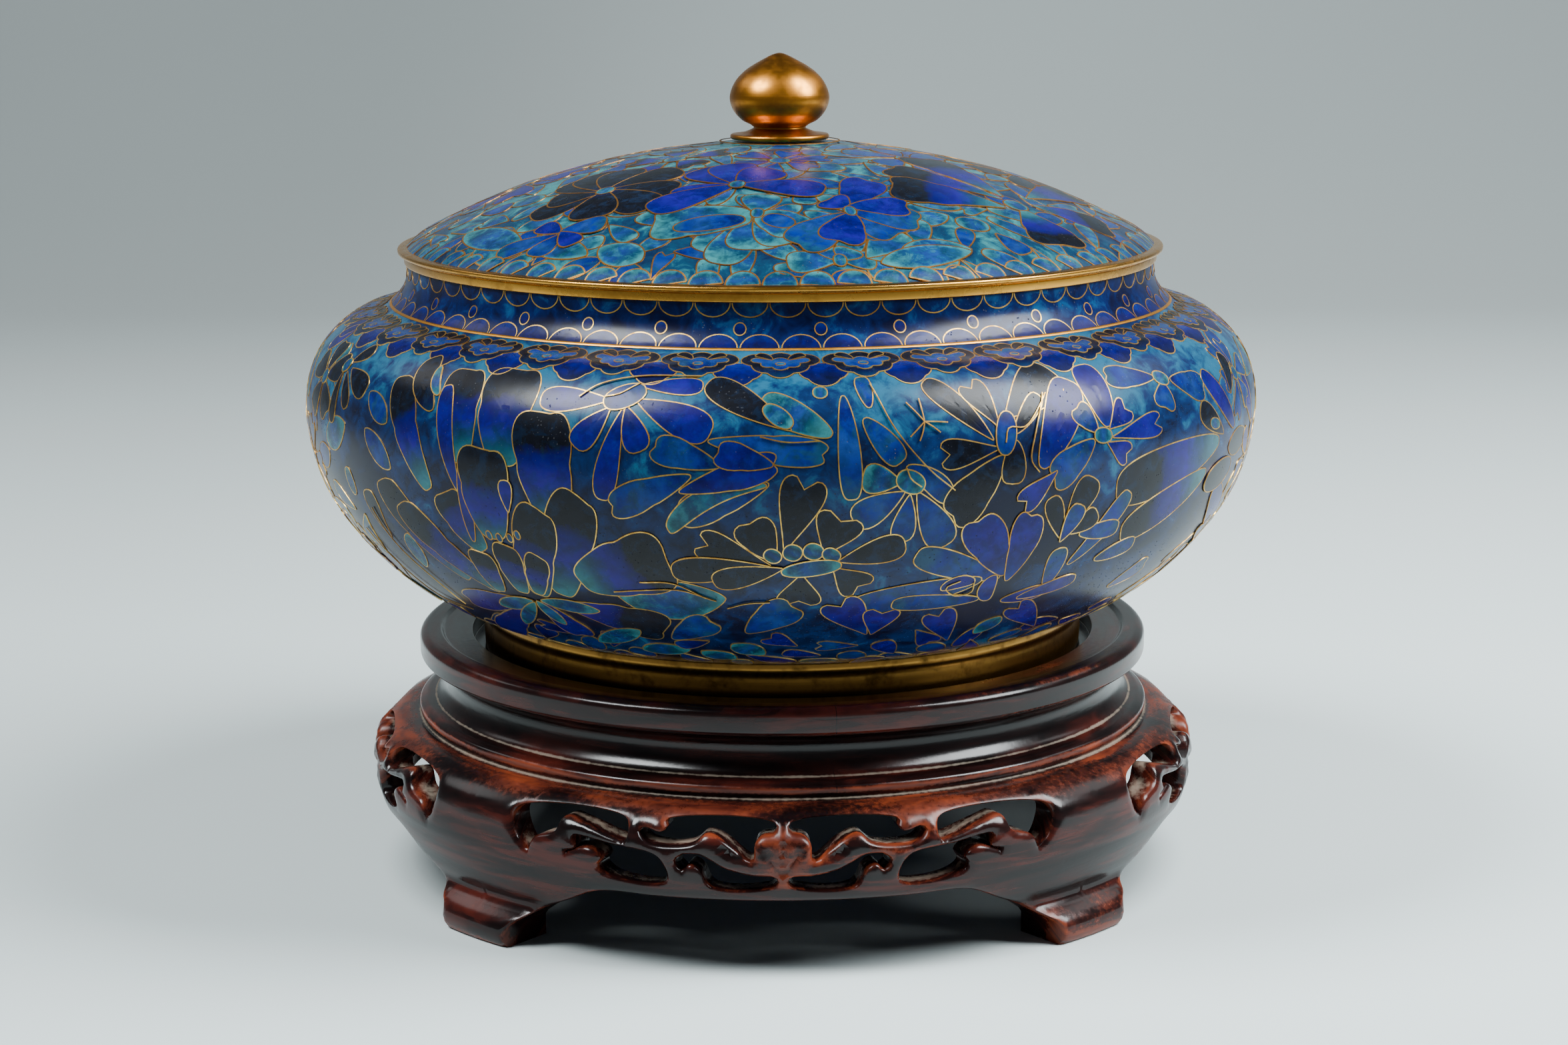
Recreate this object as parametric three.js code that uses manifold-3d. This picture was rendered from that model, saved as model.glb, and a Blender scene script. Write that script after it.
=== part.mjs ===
// Covered cloisonne bowl on a pierced hardwood stand, millimetres, +Z up.
// The axis of the bowl is the Z axis, the feet of the stand are on z = 0,
// and one panel of the stand faces -Y, so the four feet are on the diagonals.
import * as THREE from 'three';
import { mergeVertices } from 'three/addons/utils/BufferGeometryUtils.js';
import Module from 'manifold-3d';

const wasm = await Module();
wasm.setup();

// Faceting
const SIDES = 28; // sides of every large turned solid
const KNOB_SIDES = 18; // sides of the finial

// Stand, heights stacked from the floor upwards
const TOE_HEIGHT = 3.8; // widest ring of a foot
const FOOT_RISE = 8.2; // floor to the ankle of a foot
const ARCH_RISE = 7.2; // ankle to the lower edge of the apron between the feet
const BULGE_RISE = 9.2; // lower edge to the widest ring of the apron
const BROW_RISE = 8.4; // widest ring to the groove over the apron
const BEAD_RISE = 1.9; // groove to the middle of the bead
const WAIST_RISE = 6.7; // bead to the narrowest ring of the waist
const RING_LIFT = 4.5; // narrowest ring to the lower edge of the top ring
const RING_DEPTH = 4.95; // outer face of the top ring
const RECESS_DEPTH = 4.05; // rim of the top ring down to the ledge
const LEDGE_THICKNESS = 6;

// Bowl, heights stacked on the ledge of the stand
const FOOT_RING_HEIGHT = 8.9; // ledge to the edge of the enamel
const BASE_SAG = 1.9; // how far the middle of the base hangs below its edge
const BELLY_RISE = 44.7;
const SHOULDER_RISE = 17.4;
const LINE_RISE = 2.6; // shoulder to the copper line under the neck
const NECK_RISE = 4.2;
const MOUTH_RISE = 4; // neck to the top edge of the enamel
const RIM_HEIGHT = 1.8; // mouth ring above the enamel
const LID_BEAD_HEIGHT = 1.5;
const LID_RISE = 21.2; // rim of the lid to the seat of the finial

// Bowl, radii stepped outwards from the mouth, and the shells
const MOUTH_RADIUS = 78.5;
const NECK_STEP = 0.5;
const LINE_STEP = 3.2;
const SHOULDER_STEP = 7.8;
const BELLY_STEP = 10;
const BASE_RADIUS = 64.4; // where the enamel meets the foot ring
const SHELL_WALL = 2.4; // copper sheet with enamel on both faces
const LID_WALL = 2.2;

// Gilt brass rings on the bowl and the lid
const RIM_PROUD = 0.15; // how far the rims stand out from the enamel
const FOOT_RING_INSET = 0.6; // foot ring in from the edge of the enamel
const FOOT_RING_WALL = 2.6;
const FOOT_RING_FLARE = 0.5; // outward swell of the foot ring at its top
const LID_BEAD_PROUD = 1.45; // lid bead out from the mouth
const LIP_CLEARANCE = 0.6; // locating lip of the lid to the inside of the mouth
const LIP_WALL = 1.6;
const LIP_DEPTH = 5.2; // below the seat of the lid

// Finial: knob, neck and flange turned in one
const FLANGE_RADIUS = 10.6;
const FLANGE_EDGE = 1.1;
const FLANGE_SLOPE = 1.3; // rise from the edge of the flange to the neck
const FINIAL_NECK_RADIUS = 6;
const KNOB_RADIUS = 10.6;
const KNOB_HEIGHT = 15.4; // from the neck to the point

// Stand, radii stepped from the foot ring that it carries
const RECESS_CLEARANCE = 2.4; // side of the foot ring to the wall of the recess
const LEDGE_REACH = 5.2; // ledge inwards past the foot ring
const RING_WIDTH = 11.3; // recess to the outer face of the top ring
const WAIST_INSET = 5.7; // waist in from the top ring
const WAIST_WALL = 7.4;
const BEAD_PROUD = 0.5; // bead out from the top ring
const GROOVE_PROUD = 1.3; // groove out from the top ring
const APRON_PROUD = 10.4; // apron out from the top ring
const APRON_WALL = 6.1;
const ANKLE_INSET = 4.3; // ankle in from the apron
const TOE_PROUD = 0.2; // toe out from the apron
const TOE_DEPTH = 12.6; // of a foot, from its outer face inwards
const FOOT_HALF_ANGLE = 6.2; // degrees, half the width of a foot
const PANELS = 4;

// Size at which the carving of a panel is drawn below
const DRAWN_FOOT = 15.4; // lower edge of the apron
const DRAWN_GROOVE = 33; // groove over the apron
const DRAWN_EDGE = 38.8; // degrees from the middle of a panel to a foot

const apronFoot = FOOT_RISE + ARCH_RISE;
const apronHeight = apronFoot + BULGE_RISE;
const grooveHeight = apronHeight + BROW_RISE;
const beadHeight = grooveHeight + BEAD_RISE;
const waistHeight = beadHeight + WAIST_RISE;
const ringFoot = waistHeight + RING_LIFT;
const ringTop = ringFoot + RING_DEPTH;
const ledge = ringTop - RECESS_DEPTH;
const baseHeight = ledge + FOOT_RING_HEIGHT;
const bellyHeight = baseHeight + BELLY_RISE;
const shoulderHeight = bellyHeight + SHOULDER_RISE;
const lineHeight = shoulderHeight + LINE_RISE;
const neckHeight = lineHeight + NECK_RISE;
const mouthHeight = neckHeight + MOUTH_RISE;
const lidSeat = mouthHeight + RIM_HEIGHT;
const lidFoot = lidSeat + LID_BEAD_HEIGHT;
const finialSeat = lidFoot + LID_RISE;

const neckRadius = MOUTH_RADIUS + NECK_STEP;
const lineRadius = neckRadius + LINE_STEP;
const shoulderRadius = lineRadius + SHOULDER_STEP;
const bellyRadius = shoulderRadius + BELLY_STEP;
const mouthInner = MOUTH_RADIUS - SHELL_WALL;
const footRingOuter = BASE_RADIUS - FOOT_RING_INSET;
const recessRadius = footRingOuter + RECESS_CLEARANCE;
const standBore = footRingOuter - FOOT_RING_WALL - LEDGE_REACH;
const ringRadius = recessRadius + RING_WIDTH;
const waistRadius = ringRadius - WAIST_INSET;
const apronRadius = ringRadius + APRON_PROUD;
const apronInner = apronRadius - APRON_WALL;
const toeRadius = apronRadius + TOE_PROUD;
const panelEdge = 360 / PANELS / 2 - FOOT_HALF_ANGLE;

const mix = (a, b, share) => a + (b - a) * share;

/** Smooth curve through the given points, with two steps from each to the next. */
function smooth(points) {
  const curve = new THREE.CatmullRomCurve3(
    points.map(([r, z]) => new THREE.Vector3(r, z, 0)), false, 'centripetal');
  return curve.getPoints(2 * (points.length - 1)).map((p) => [p.x, p.y]);
}

/** Profile moved sideways by a distance, for a wall of even thickness. */
function offset(profile, distance) {
  return profile.map(([r, z], i) => {
    const [r0, z0] = profile[Math.max(i - 1, 0)];
    const [r1, z1] = profile[Math.min(i + 1, profile.length - 1)];
    const length = Math.hypot(r1 - r0, z1 - z0);
    return [Math.max(r - (distance * (z1 - z0)) / length, 0), z + (distance * (r1 - r0)) / length];
  });
}

/** Every second point of a profile, because the hidden faces need fewer. */
function everySecond(profile) {
  return profile.filter((_, i) => i % 2 === 0);
}

/** Solid turned about the Z axis from a profile of [radius, height]. */
function turned(profile, sides) {
  const points = profile.map(([r, z]) => new THREE.Vector2(r, z));
  const onAxis = profile[0][0] === 0 && profile[profile.length - 1][0] === 0;
  if (!onAxis) {
    points.push(points[0].clone());
  }
  const geometry = new THREE.LatheGeometry(points, sides);
  geometry.rotateX(Math.PI / 2);
  return geometry;
}

/** Manifold of a three.js geometry, its coincident corners joined. */
function toManifold(geometry) {
  const bare = new THREE.BufferGeometry();
  bare.setAttribute('position', geometry.getAttribute('position').clone());
  if (geometry.index) {
    bare.setIndex(geometry.index.clone());
  }
  const welded = mergeVertices(bare, 1e-4);
  const index = welded.index.array;
  const triangles = [];
  for (let i = 0; i < index.length; i += 3) {
    const [a, b, c] = [index[i], index[i + 1], index[i + 2]];
    if (a !== b && b !== c && c !== a) {
      triangles.push(a, b, c);
    }
  }
  return new wasm.Manifold(new wasm.Mesh({
    numProp: 3,
    vertProperties: new Float32Array(welded.getAttribute('position').array),
    triVerts: new Uint32Array(triangles),
  }));
}

/** BufferGeometry of a manifold. */
function toGeometry(manifold) {
  const mesh = manifold.getMesh();
  const geometry = new THREE.BufferGeometry();
  const positions = new Float32Array(mesh.numVert * 3);
  for (let i = 0; i < mesh.numVert; i += 1) {
    for (let k = 0; k < 3; k += 1) {
      positions[3 * i + k] = mesh.vertProperties[i * mesh.numProp + k];
    }
  }
  geometry.setAttribute('position', new THREE.BufferAttribute(positions, 3));
  geometry.setIndex(new THREE.BufferAttribute(new Uint32Array(mesh.triVerts), 1));
  return geometry;
}

/** Drawn point of a panel, [degrees, height], at the size of this stand. */
function onPanel([angle, z]) {
  const height = z < DRAWN_FOOT
    ? (z * apronFoot) / DRAWN_FOOT
    : mix(apronFoot, grooveHeight, (z - DRAWN_FOOT) / (DRAWN_GROOVE - DRAWN_FOOT));
  return [(angle * panelEdge) / DRAWN_EDGE, height];
}

const innerCut = apronInner - 13.8; // cutters start in the hollow of the apron
const outerCut = apronRadius * 1.6; // and end well outside it

/** Cutter through the wall of the panel that faces -Y, from a drawn outline. */
function radialCutter(outline) {
  const shape = new THREE.Shape(outline.map(onPanel).map(([angle, z]) => new THREE.Vector2(angle, z)));
  const geometry = new THREE.ExtrudeGeometry(shape, { depth: 1, bevelEnabled: false, steps: 1 });
  const place = geometry.getAttribute('position');
  for (let i = 0; i < place.count; i += 1) {
    const angle = THREE.MathUtils.degToRad(place.getX(i));
    const radius = mix(innerCut, outerCut, place.getZ(i));
    place.setXYZ(i, radius * Math.sin(angle), -radius * Math.cos(angle), place.getY(i));
  }
  return toManifold(geometry);
}

// Outer face of the bowl. The shares say how full the curve is on its way
// from the shoulder to the belly and from the belly to the base.
const upper = (radius, height) => [
  mix(shoulderRadius, bellyRadius, radius), mix(shoulderHeight, bellyHeight, height)];
const lower = (radius, height) => [
  mix(BASE_RADIUS, bellyRadius, radius), mix(baseHeight, bellyHeight, height)];
const bowlOuter = smooth([
  [MOUTH_RADIUS, mouthHeight],
  [neckRadius, neckHeight],
  [lineRadius, lineHeight],
  [shoulderRadius, shoulderHeight],
  upper(0.71, 0.402),
  [bellyRadius, bellyHeight],
  lower(0.905, 0.629),
  lower(0.618, 0.315),
  lower(0.264, 0.092),
  [BASE_RADIUS, baseHeight],
]);
bowlOuter.push([0, baseHeight - BASE_SAG]);

const bowlInner = everySecond(offset(bowlOuter.slice(0, -1), -SHELL_WALL));
bowlInner[0] = [mouthInner, mouthHeight];
bowlInner.push([0, baseHeight - BASE_SAG + SHELL_WALL]);
const bowl = turned([...bowlOuter.slice().reverse(), ...bowlInner], SIDES);

// Dome of the lid, full near the rim and flat towards the finial
const dome = (radius, height) => [
  mix(FLANGE_RADIUS, MOUTH_RADIUS, radius), lidFoot + LID_RISE * height];
const lidOuter = smooth([
  dome(1, 0), dome(0.954, 0.123), dome(0.801, 0.363), dome(0.58, 0.637), dome(0.286, 0.868), dome(0, 1),
]);
lidOuter.push([0, finialSeat]);
const lidInner = everySecond(offset(lidOuter.slice(0, -1), LID_WALL))
  .map(([r, z]) => [r, Math.max(z, lidFoot)]);
lidInner[0] = [MOUTH_RADIUS - LID_WALL - 1, lidFoot];
lidInner.push([0, finialSeat - LID_WALL]);
const lid = turned([...lidInner.slice().reverse(), ...lidOuter], SIDES);

const rimInner = mouthInner - RIM_PROUD;
const rimOuter = MOUTH_RADIUS + RIM_PROUD;
const mouthRim = turned([
  [rimInner, mouthHeight],
  [rimOuter, mouthHeight],
  [rimOuter, lidSeat],
  [rimInner, lidSeat],
], SIDES);

const lipOuter = rimInner - LIP_CLEARANCE;
const beadOuter = MOUTH_RADIUS + LID_BEAD_PROUD;
const lidRim = turned([
  [lipOuter - LIP_WALL, lidSeat - LIP_DEPTH],
  [lipOuter, lidSeat - LIP_DEPTH],
  [lipOuter, lidSeat],
  [beadOuter - 0.4, lidSeat],
  [beadOuter, mix(lidSeat, lidFoot, 0.5)],
  [beadOuter - 0.7, lidFoot],
  [lipOuter - LIP_WALL, lidFoot],
], SIDES);

const footRing = turned([
  [footRingOuter - FOOT_RING_WALL, ledge],
  [footRingOuter, ledge],
  [footRingOuter, baseHeight - 2.2],
  [footRingOuter + FOOT_RING_FLARE, baseHeight - 0.9],
  [footRingOuter + FOOT_RING_FLARE, baseHeight - 0.3],
  [footRingOuter - FOOT_RING_WALL, baseHeight - 0.5],
], SIDES);

const finialNeck = finialSeat + FLANGE_EDGE + FLANGE_SLOPE;
const knob = (radius, share) => [radius, finialNeck + KNOB_HEIGHT * share];
const finial = turned([
  [0, finialSeat],
  [FLANGE_RADIUS - 0.4, finialSeat],
  [FLANGE_RADIUS, mix(finialSeat, finialSeat + FLANGE_EDGE, 0.5)],
  [FLANGE_RADIUS - 0.4, finialSeat + FLANGE_EDGE],
  [FINIAL_NECK_RADIUS + 0.4, finialNeck],
  knob(FINIAL_NECK_RADIUS, 0.045),
  ...smooth([
    knob(FINIAL_NECK_RADIUS + 1.3, 0.12),
    knob(KNOB_RADIUS - 0.6, 0.27),
    knob(KNOB_RADIUS, 0.47),
    knob(KNOB_RADIUS - 1, 0.65),
    knob(KNOB_RADIUS - 3.2, 0.82),
    knob(KNOB_RADIUS - 8.2, 0.955),
  ]),
  knob(0, 1),
], KNOB_SIDES);

// Stand, turned first and then cut
const beadRadius = ringRadius + BEAD_PROUD;
const toeInner = toeRadius - TOE_DEPTH;
const standProfile = [
  [standBore, ledge - LEDGE_THICKNESS],
  [waistRadius - WAIST_WALL, ledge - LEDGE_THICKNESS],
  [waistRadius - WAIST_WALL, grooveHeight - 2.8],
  [apronInner, grooveHeight - 3.8],
  [apronInner, apronFoot - 3],
  [toeInner, FOOT_RISE],
  [toeInner, 0],
  [toeRadius - 0.7, 0],
  [toeRadius, TOE_HEIGHT],
  [toeRadius - 1.6, mix(TOE_HEIGHT, FOOT_RISE, 0.5)],
  [apronRadius - ANKLE_INSET, FOOT_RISE],
  [apronRadius - 0.6, mix(apronFoot, apronHeight, 0.39)],
  [apronRadius, apronHeight],
  [apronRadius - 0.9, mix(apronHeight, grooveHeight, 0.44)],
  [apronRadius - 3.7, mix(apronHeight, grooveHeight, 0.786)],
  [apronRadius - 6.7, grooveHeight],
  [ringRadius + GROOVE_PROUD, grooveHeight],
  [beadRadius, beadHeight],
  [beadRadius - 1.4, beadHeight + 1.3],
  [waistRadius + 2.6, beadHeight + 1.7],
  [waistRadius + 0.5, mix(beadHeight, waistHeight, 0.58)],
  [waistRadius, waistHeight],
  [waistRadius + 1.6, mix(waistHeight, ringFoot, 0.62)],
  [ringRadius - 1.4, ringFoot - 1],
  [ringRadius, ringFoot],
  [ringRadius, ringTop - 1.2],
  [ringRadius - 1.4, ringTop],
  [ringRadius - 4.6, ringTop],
  [ringRadius - 5.4, ringTop - 0.85],
  [recessRadius, ringTop - 0.85],
  [recessRadius, ledge],
  [standBore, ledge],
];

// Space under the apron between two feet, right half
const ARCH = [
  [16, 15.4], [24.5, 15.1], [30, 11.6], [34.6, 8.4], [38.2, 5.2], [38.8, 4.2], [38.8, -2],
];

// Pierced carving of one panel, left half: a scrolling stem runs from the
// foot to a ribbed shell in the middle, with clouds that hang from the top
// edge and curl up from the lower band.
const PIERCINGS = [
  // space over the stem, beside the foot
  [[-34.8, 21.6], [-36.4, 23.7], [-37.2, 28.6], [-34.4, 30.4], [-21, 30.4], [-20.1, 29.2],
    [-20.3, 26.4], [-22.2, 26.8], [-25.6, 28.3], [-29.3, 29.2], [-30.5, 26.2], [-33.6, 24.4]],
  // space over the stem, from the cloud to the shell
  [[-18.5, 28.2], [-18, 29], [-15.6, 28.4], [-14.9, 29.3], [-15.1, 30.4], [-0.9, 30.4],
    [-0.9, 29], [-2.6, 28.4], [-3.5, 27], [-3.8, 23.7], [-7.7, 27.8], [-9.7, 28.6],
    [-11.4, 26.7], [-15.9, 26.1], [-17.7, 26.8]],
  // space under the stem, beside the foot
  [[-28.7, 22.7], [-27.2, 23.8], [-27.8, 25.9], [-22.1, 25.3], [-15.9, 23.6], [-14.9, 18.8],
    [-22.3, 18.8], [-24.2, 20.6], [-23.6, 22.4], [-25.3, 24.2]],
  // space under the stem, beside the shell
  [[-12.5, 24.7], [-10.4, 24.6], [-7.2, 22], [-3.9, 20.7], [-1.1, 20.4], [-0.6, 19.6],
    [-1.3, 18.5], [-9, 18.3], [-10.6, 21.9], [-11.8, 22.7], [-12.8, 21.4], [-13.7, 23.3]],
];

const mirrored = (outline) => outline.map(([angle, z]) => [-angle, z]).reverse();

let standBody = toManifold(turned(standProfile, SIDES));
const panelCutters = [radialCutter([...mirrored(ARCH), ...ARCH])];
for (const outline of PIERCINGS) {
  panelCutters.push(radialCutter(outline), radialCutter(mirrored(outline)));
}
for (let panel = 0; panel < PANELS; panel += 1) {
  for (const cutter of panelCutters) {
    standBody = standBody.subtract(cutter.rotate([0, 0, (360 / PANELS) * panel]));
  }
}
const stand = toGeometry(standBody);

const FINISHES = {
  brass: { color: 0xb8862f, roughness: 0.3, metalness: 1 },
  gilt: { color: 0xc9952f, roughness: 0.22, metalness: 1 },
  enamel: { color: 0x1b2f86, roughness: 0.16, metalness: 0 },
  hardwood: { color: 0x2a1412, roughness: 0.3, metalness: 0 },
};

function piece(name, geometry, finish) {
  const mesh = new THREE.Mesh(geometry, new THREE.MeshStandardMaterial(FINISHES[finish]));
  mesh.name = name;
  return mesh;
}

const group = new THREE.Group();
group.add(piece('stand', stand, 'hardwood'));
group.add(piece('foot_ring', footRing, 'brass'));
group.add(piece('bowl', bowl, 'enamel'));
group.add(piece('mouth_rim', mouthRim, 'gilt'));
group.add(piece('lid_rim', lidRim, 'gilt'));
group.add(piece('lid', lid, 'enamel'));
group.add(piece('finial', finial, 'brass'));

export default group;
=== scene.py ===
"""Looks of the covered cloisonne bowl on its pierced hardwood stand.

Lengths are written in millimetres and angles in radians unless a name says otherwise. Azimuth 0 faces
the camera, along -Y, and grows towards +X. Meshes are scaled to metres when they are put into the scene.
"""

import logging
import math
from dataclasses import dataclass, field, replace
from enum import Enum
from typing import Iterable, Sequence

import bpy
import numpy as np
from mathutils import Matrix, Vector
from mathutils.geometry import delaunay_2d_cdt


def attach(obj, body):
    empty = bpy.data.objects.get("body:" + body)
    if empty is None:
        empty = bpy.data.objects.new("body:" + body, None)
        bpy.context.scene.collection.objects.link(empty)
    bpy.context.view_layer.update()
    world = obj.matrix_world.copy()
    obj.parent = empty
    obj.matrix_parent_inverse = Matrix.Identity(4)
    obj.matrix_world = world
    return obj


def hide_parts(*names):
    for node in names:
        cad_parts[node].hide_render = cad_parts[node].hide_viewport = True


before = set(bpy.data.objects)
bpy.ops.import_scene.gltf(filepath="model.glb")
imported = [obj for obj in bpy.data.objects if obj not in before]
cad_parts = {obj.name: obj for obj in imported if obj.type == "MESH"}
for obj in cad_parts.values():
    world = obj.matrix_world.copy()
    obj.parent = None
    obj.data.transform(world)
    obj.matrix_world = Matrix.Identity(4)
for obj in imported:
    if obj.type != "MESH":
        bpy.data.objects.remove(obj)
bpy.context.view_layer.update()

MM = 0.001
TURN = 2 * math.pi
TINY = 1e-9
LOG = logging.getLogger("bowl")
Array = np.ndarray
Material = bpy.types.Material
Point = tuple[float, float]
Corner = tuple[float, float, float]
Colour = tuple[float, float, float]
Stops = tuple[tuple[float, Colour], ...]


def srgb(red: int, green: int, blue: int) -> Colour:
    """Turn a display colour of 0 to 255 into the linear values that the shader takes."""
    return tuple(c / 12.92 if c <= 0.04045 else ((c + 0.055) / 1.055) ** 2.4
                 for c in (red / 255, green / 255, blue / 255))


def smoothstep(low: float, high: float, x: Array) -> Array:
    """Ease x from 0 at low to 1 at high, as 3t^2 - 2t^3 of its share t of the way."""
    t = np.clip((x - low) / (high - low), 0.0, 1.0)
    return t * t * (3.0 - 2.0 * t)


def bell(x: Array, middle: float, width: float) -> Array:
    """Give exp(-((x - middle) / width)^2), 1 at the middle and near 0 two widths away."""
    return np.exp(-((x - middle) / width) ** 2)


def turn_between(start: "Array | float", end: "Array | float") -> "Array | float":
    """Give the angle from start to end, between half turns."""
    return (end - start + np.pi) % TURN - np.pi


def round_axis(r: Array, azimuth: Array, z: Array) -> Array:
    """Give points (r sin a, -r cos a, z) at radii, azimuths and heights."""
    return np.stack([r * np.sin(azimuth), -r * np.cos(azimuth), z], -1)


def travelled(line: Array) -> Array:
    """Give the distance along a line at each of its points."""
    return np.concatenate([[0.0], np.cumsum(np.linalg.norm(np.diff(line, axis=0), axis=1))])


def left_of(run: Array) -> Array:
    """Give the unit vectors to the left of directions, one row each."""
    run = run / np.maximum(np.linalg.norm(run, axis=1), TINY)[:, None]
    return np.stack([-run[:, 1], run[:, 0]], 1)


def closed_run(line: Array) -> Array:
    """Give the direction of a closed line at each point, from the point before to the point after."""
    return np.roll(line, -1, axis=0) - np.roll(line, 1, axis=0)


# Shader building

class Expr:
    """One socket of a shader tree, with arithmetic that adds Math nodes."""

    def __init__(self, tree: "Tree", socket: bpy.types.NodeSocket) -> None:
        """Keep the tree and the socket that carries the value."""
        self.tree, self.socket = tree, socket

    def math(self, operation: str, *values: "Expr | float") -> "Expr":
        """Apply a Math node's operation to values, in order."""
        return self.tree.node("Math", dict(enumerate(values)), operation=operation)["Value"]

    def __add__(self, other: "Expr | float") -> "Expr":
        """Add."""
        return self.math("ADD", self, other)

    def __radd__(self, other: float) -> "Expr":
        """Add to a number."""
        return self.math("ADD", other, self)

    def __sub__(self, other: "Expr | float") -> "Expr":
        """Subtract."""
        return self.math("SUBTRACT", self, other)

    def __rsub__(self, other: float) -> "Expr":
        """Subtract from a number."""
        return self.math("SUBTRACT", other, self)

    def __mul__(self, other: "Expr | float") -> "Expr":
        """Multiply."""
        return self.math("MULTIPLY", self, other)

    def __rmul__(self, other: float) -> "Expr":
        """Multiply a number."""
        return self.math("MULTIPLY", other, self)

    def power(self, exponent: float) -> "Expr":
        """Raise to a power."""
        return self.math("POWER", self, exponent)

    def step(self, low: float, high: float) -> "Expr":
        """Ease from 0 where the value is low to 1 where it is high, and low may lie over high."""
        inputs = {"Value": self, "From Min": low, "From Max": high}
        return self.tree.node("MapRange", inputs, interpolation_type="SMOOTHSTEP")["Result"]


class Built:
    """A node just made, whose outputs are picked by name or number."""

    def __init__(self, tree: "Tree", node: bpy.types.Node) -> None:
        """Keep the tree and the node."""
        self.tree, self.node = tree, node

    def __getitem__(self, name: str | int) -> Expr:
        """Give an output."""
        return Expr(self.tree, self.node.outputs[name])


class Tree:
    """A shader tree that grows by expressions."""

    def __init__(self, tree: bpy.types.NodeTree) -> None:
        """Keep the tree."""
        self.tree = tree

    def node(self, kind: str, inputs: dict, **settings: object) -> Built:
        """Add a node, set it, then feed it.

        Args:
            kind: the node's type, without the words that all types start with.
            inputs: values or expressions, by socket name or number.
            settings: its own properties; stops holds a ramp's (place, colour) pairs.

        Returns:
            The node.
        """
        made = self.tree.nodes.new("ShaderNode" + kind)
        stops = settings.pop("stops", ())
        for key, value in settings.items():
            setattr(made, key, value)
        for k, (place, colour) in enumerate(stops):
            elements = made.color_ramp.elements
            element = elements[k] if k < len(elements) else elements.new(1.0)
            element.position, element.color = place, (*colour, 1.0)
        for key, value in inputs.items():
            self.feed(made.inputs[key], value)
        return Built(self, made)

    def feed(self, socket: bpy.types.NodeSocket, value: "Expr | float | Sequence[float]") -> None:
        """Link an expression to a socket, or set its value.

        Args:
            socket: the input.
            value: what goes into it; a colour gets an alpha of 1 where there is room for one.
        """
        if isinstance(value, Expr):
            self.tree.links.new(value.socket, socket)
        elif isinstance(value, (int, float)):
            socket.default_value = value
        else:
            socket.default_value = (*value, 1.0)[:len(socket.default_value)]

    def ramp(self, value: Expr, stops: Stops) -> Expr:
        """Turn a number into a colour along stops."""
        return self.node("ValToRGB", {"Fac": value}, stops=stops)["Color"]


class Shader(Tree):
    """A material with one Principled shader, on Object coordinates."""

    def __init__(self, name: str) -> None:
        """Start the material.

        Args:
            name: the material's name.
        """
        self.material = bpy.data.materials.new(name)
        self.material.use_nodes = True
        super().__init__(self.material.node_tree)
        self.tree.nodes.clear()
        self.surface = self.node("BsdfPrincipled", {})
        self.node("OutputMaterial", {"Surface": self.surface["BSDF"]})
        self.place = self.node("TexCoord", {})["Object"]

    def split(self) -> tuple[Expr, Expr, Expr, Expr]:
        """Give x, y and z in metres, and the distance from the Z axis."""
        parts = self.node("SeparateXYZ", {0: self.place})
        x, y, z = (parts[k] for k in "XYZ")
        return x, y, z, (x * x + y * y).power(0.5)

    def noise(self, size: float, detail: float = 2.0, warp: float = 0.0, rough: float = 0.5) -> Expr:
        """Give fractal noise from 0 to 1, its patches a size in millimetres across."""
        return self.noise_at(self.place, 1.0 / (size * MM), detail, warp, rough)

    def noise_at(self, vector: Expr, scale: float, detail: float, warp: float = 0.0,
                 rough: float = 0.5) -> Expr:
        """Give fractal noise from 0 to 1 on coordinates of its own.

        Args:
            vector: the coordinates.
            scale: patches to a unit.
            detail: octaves.
            warp: distortion.
            rough: how strong the finer octaves are.

        Returns:
            The noise.
        """
        inputs = {"Vector": vector, "Scale": scale, "Detail": detail, "Distortion": warp, "Roughness": rough}
        return self.node("TexNoise", inputs)["Fac"]

    def dots(self, size: float) -> Expr:
        """Give the distance, in cells, to the nearest of points scattered a size in millimetres apart."""
        return self.node("TexVoronoi", {"Vector": self.place, "Scale": 1.0 / (size * MM)})["Distance"]

    def attribute(self, name: str) -> Expr:
        """Read a number kept on the mesh."""
        return self.node("Attribute", {}, attribute_name=name)["Fac"]

    def mix(self, share: "Expr | float", first: "Expr | Colour", second: "Expr | Colour") -> Expr:
        """Mix two colours, by the share of the second."""
        inputs = {0: share, 6: first, 7: second}
        return self.node("Mix", inputs, data_type="RGBA", blend_type="MIX", clamp_factor=True)[2]

    def shade(self, colour: "Expr | Colour", factor: "Expr | float") -> Expr:
        """Darken or lighten a colour by a factor, as a vector."""
        return self.node("VectorMath", {0: colour, "Scale": factor}, operation="SCALE")["Vector"]

    def bump(self, height: Expr, depth: float) -> None:
        """Raise the surface by a height of 0 to 1, which stands for a depth in millimetres."""
        self.set(Normal=self.node("Bump", {"Height": height, "Distance": depth * MM})["Normal"])

    def set(self, **sockets: "Expr | float | Sequence[float]") -> None:
        """Feed sockets of the Principled shader, an underscore standing for a space."""
        for name, value in sockets.items():
            self.feed(self.surface.node.inputs[name.replace("_", " ")], value)


# Mesh building

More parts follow.
